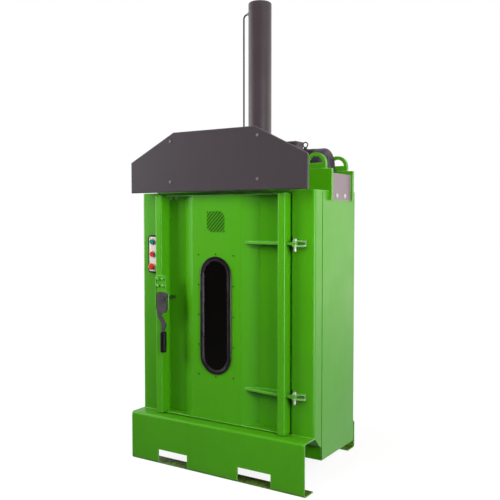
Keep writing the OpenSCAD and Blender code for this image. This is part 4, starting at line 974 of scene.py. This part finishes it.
shape = bmesh.new()
for button in ("start_button", "stop_button"):
    low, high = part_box(button)
    radius = (high.z - low.z) / 2 + COLLAR_GAP + COLLAR_WIRE
    centre = Vector(((low.x + high.x) / 2, panel_low.y, (low.z + high.z) / 2))
    hoop(shape, centre, FRONT, radius, COLLAR_WIRE)
piece("button_collars", shape, STEEL, "frame")

shape = bmesh.new()
for x in (panel_low.x + PANEL_SCREW_X, panel_high.x - PANEL_SCREW_X):
    for z in (panel_low.z + PANEL_SCREW_Z, panel_high.z - PANEL_SCREW_Z):
        socket_screw(shape, (x, panel_low.y, z), FRONT, PANEL_SCREW_R)
piece("control_plate_screws", shape, ZINC, "frame")

# %% [markdown]
# ## The cylinder's foot and the fan's guard
# The barrel is welded all round to its flange, and a guard of four wire rings covers the motor's fan.
# Both are the same ring as the collars, so they need no new shape.

# %% Cylinder foot weld and fan guard
FOOT_WELD_OUT = 0.002
FOOT_WELD_R = 0.005
FOOT_WELD_STEPS = 64
GUARD_WIRE = 0.0016
GUARD_STEPS = 40
GUARD_SHARES = (0.2, 0.36, 0.52, 0.68)

barrel_low, barrel_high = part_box("cylinder_barrel")
barrel_r = (barrel_high.x - barrel_low.x) / 2
flange_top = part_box("cylinder_flange")[1].z
foot = Vector((barrel_low.x + barrel_r, (barrel_low.y + barrel_high.y) / 2, flange_top))
shape = bmesh.new()
hoop(shape, foot, UP, barrel_r + FOOT_WELD_OUT, FOOT_WELD_R, FOOT_WELD_STEPS)
piece("cylinder_foot_weld", shape, BARREL_GREY, "frame")

cowl_low, cowl_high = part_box("fan_cowl")
cowl_r = (cowl_high.z - cowl_low.z) / 2
hub = Vector((cowl_high.x, (cowl_low.y + cowl_high.y) / 2, (cowl_low.z + cowl_high.z) / 2))
shape = bmesh.new()
for share in GUARD_SHARES:
    hoop(shape, hub, RIGHT, share * cowl_r, GUARD_WIRE, GUARD_STEPS)
piece("fan_guard", shape, MOTOR_PAINT, "frame")

# %% [markdown]
# ## Bolts on the tank and the motor
# The oil tank's lid and the terminal box's lid are held by screws near their corners. They can't be seen
# from the front, but the machine can be seen from every side.

# %% Lid bolts
LID_BOLT_R = 0.0055
LID_BOLT_IN = 0.012
LID_BOLT_SHARES = (0.06, 0.5, 0.94)
BOX_SCREW_R = 0.004
BOX_SCREW_IN = 0.01

shape = bmesh.new()
low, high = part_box("oil_tank")
for share in LID_BOLT_SHARES:
    for y in (low.y + LID_BOLT_IN, high.y - LID_BOLT_IN):
        hex_bolt(shape, (low.x + share * (high.x - low.x), y, high.z), UP, LID_BOLT_R)
piece("tank_lid_bolts", shape, ZINC, "frame")

shape = bmesh.new()
low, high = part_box("terminal_box")
for x in (low.x + BOX_SCREW_IN, high.x - BOX_SCREW_IN):
    for y in (low.y + BOX_SCREW_IN, high.y - BOX_SCREW_IN):
        socket_screw(shape, (x, y, high.z), UP, BOX_SCREW_R)
piece("terminal_box_screws", shape, ZINC, "frame")
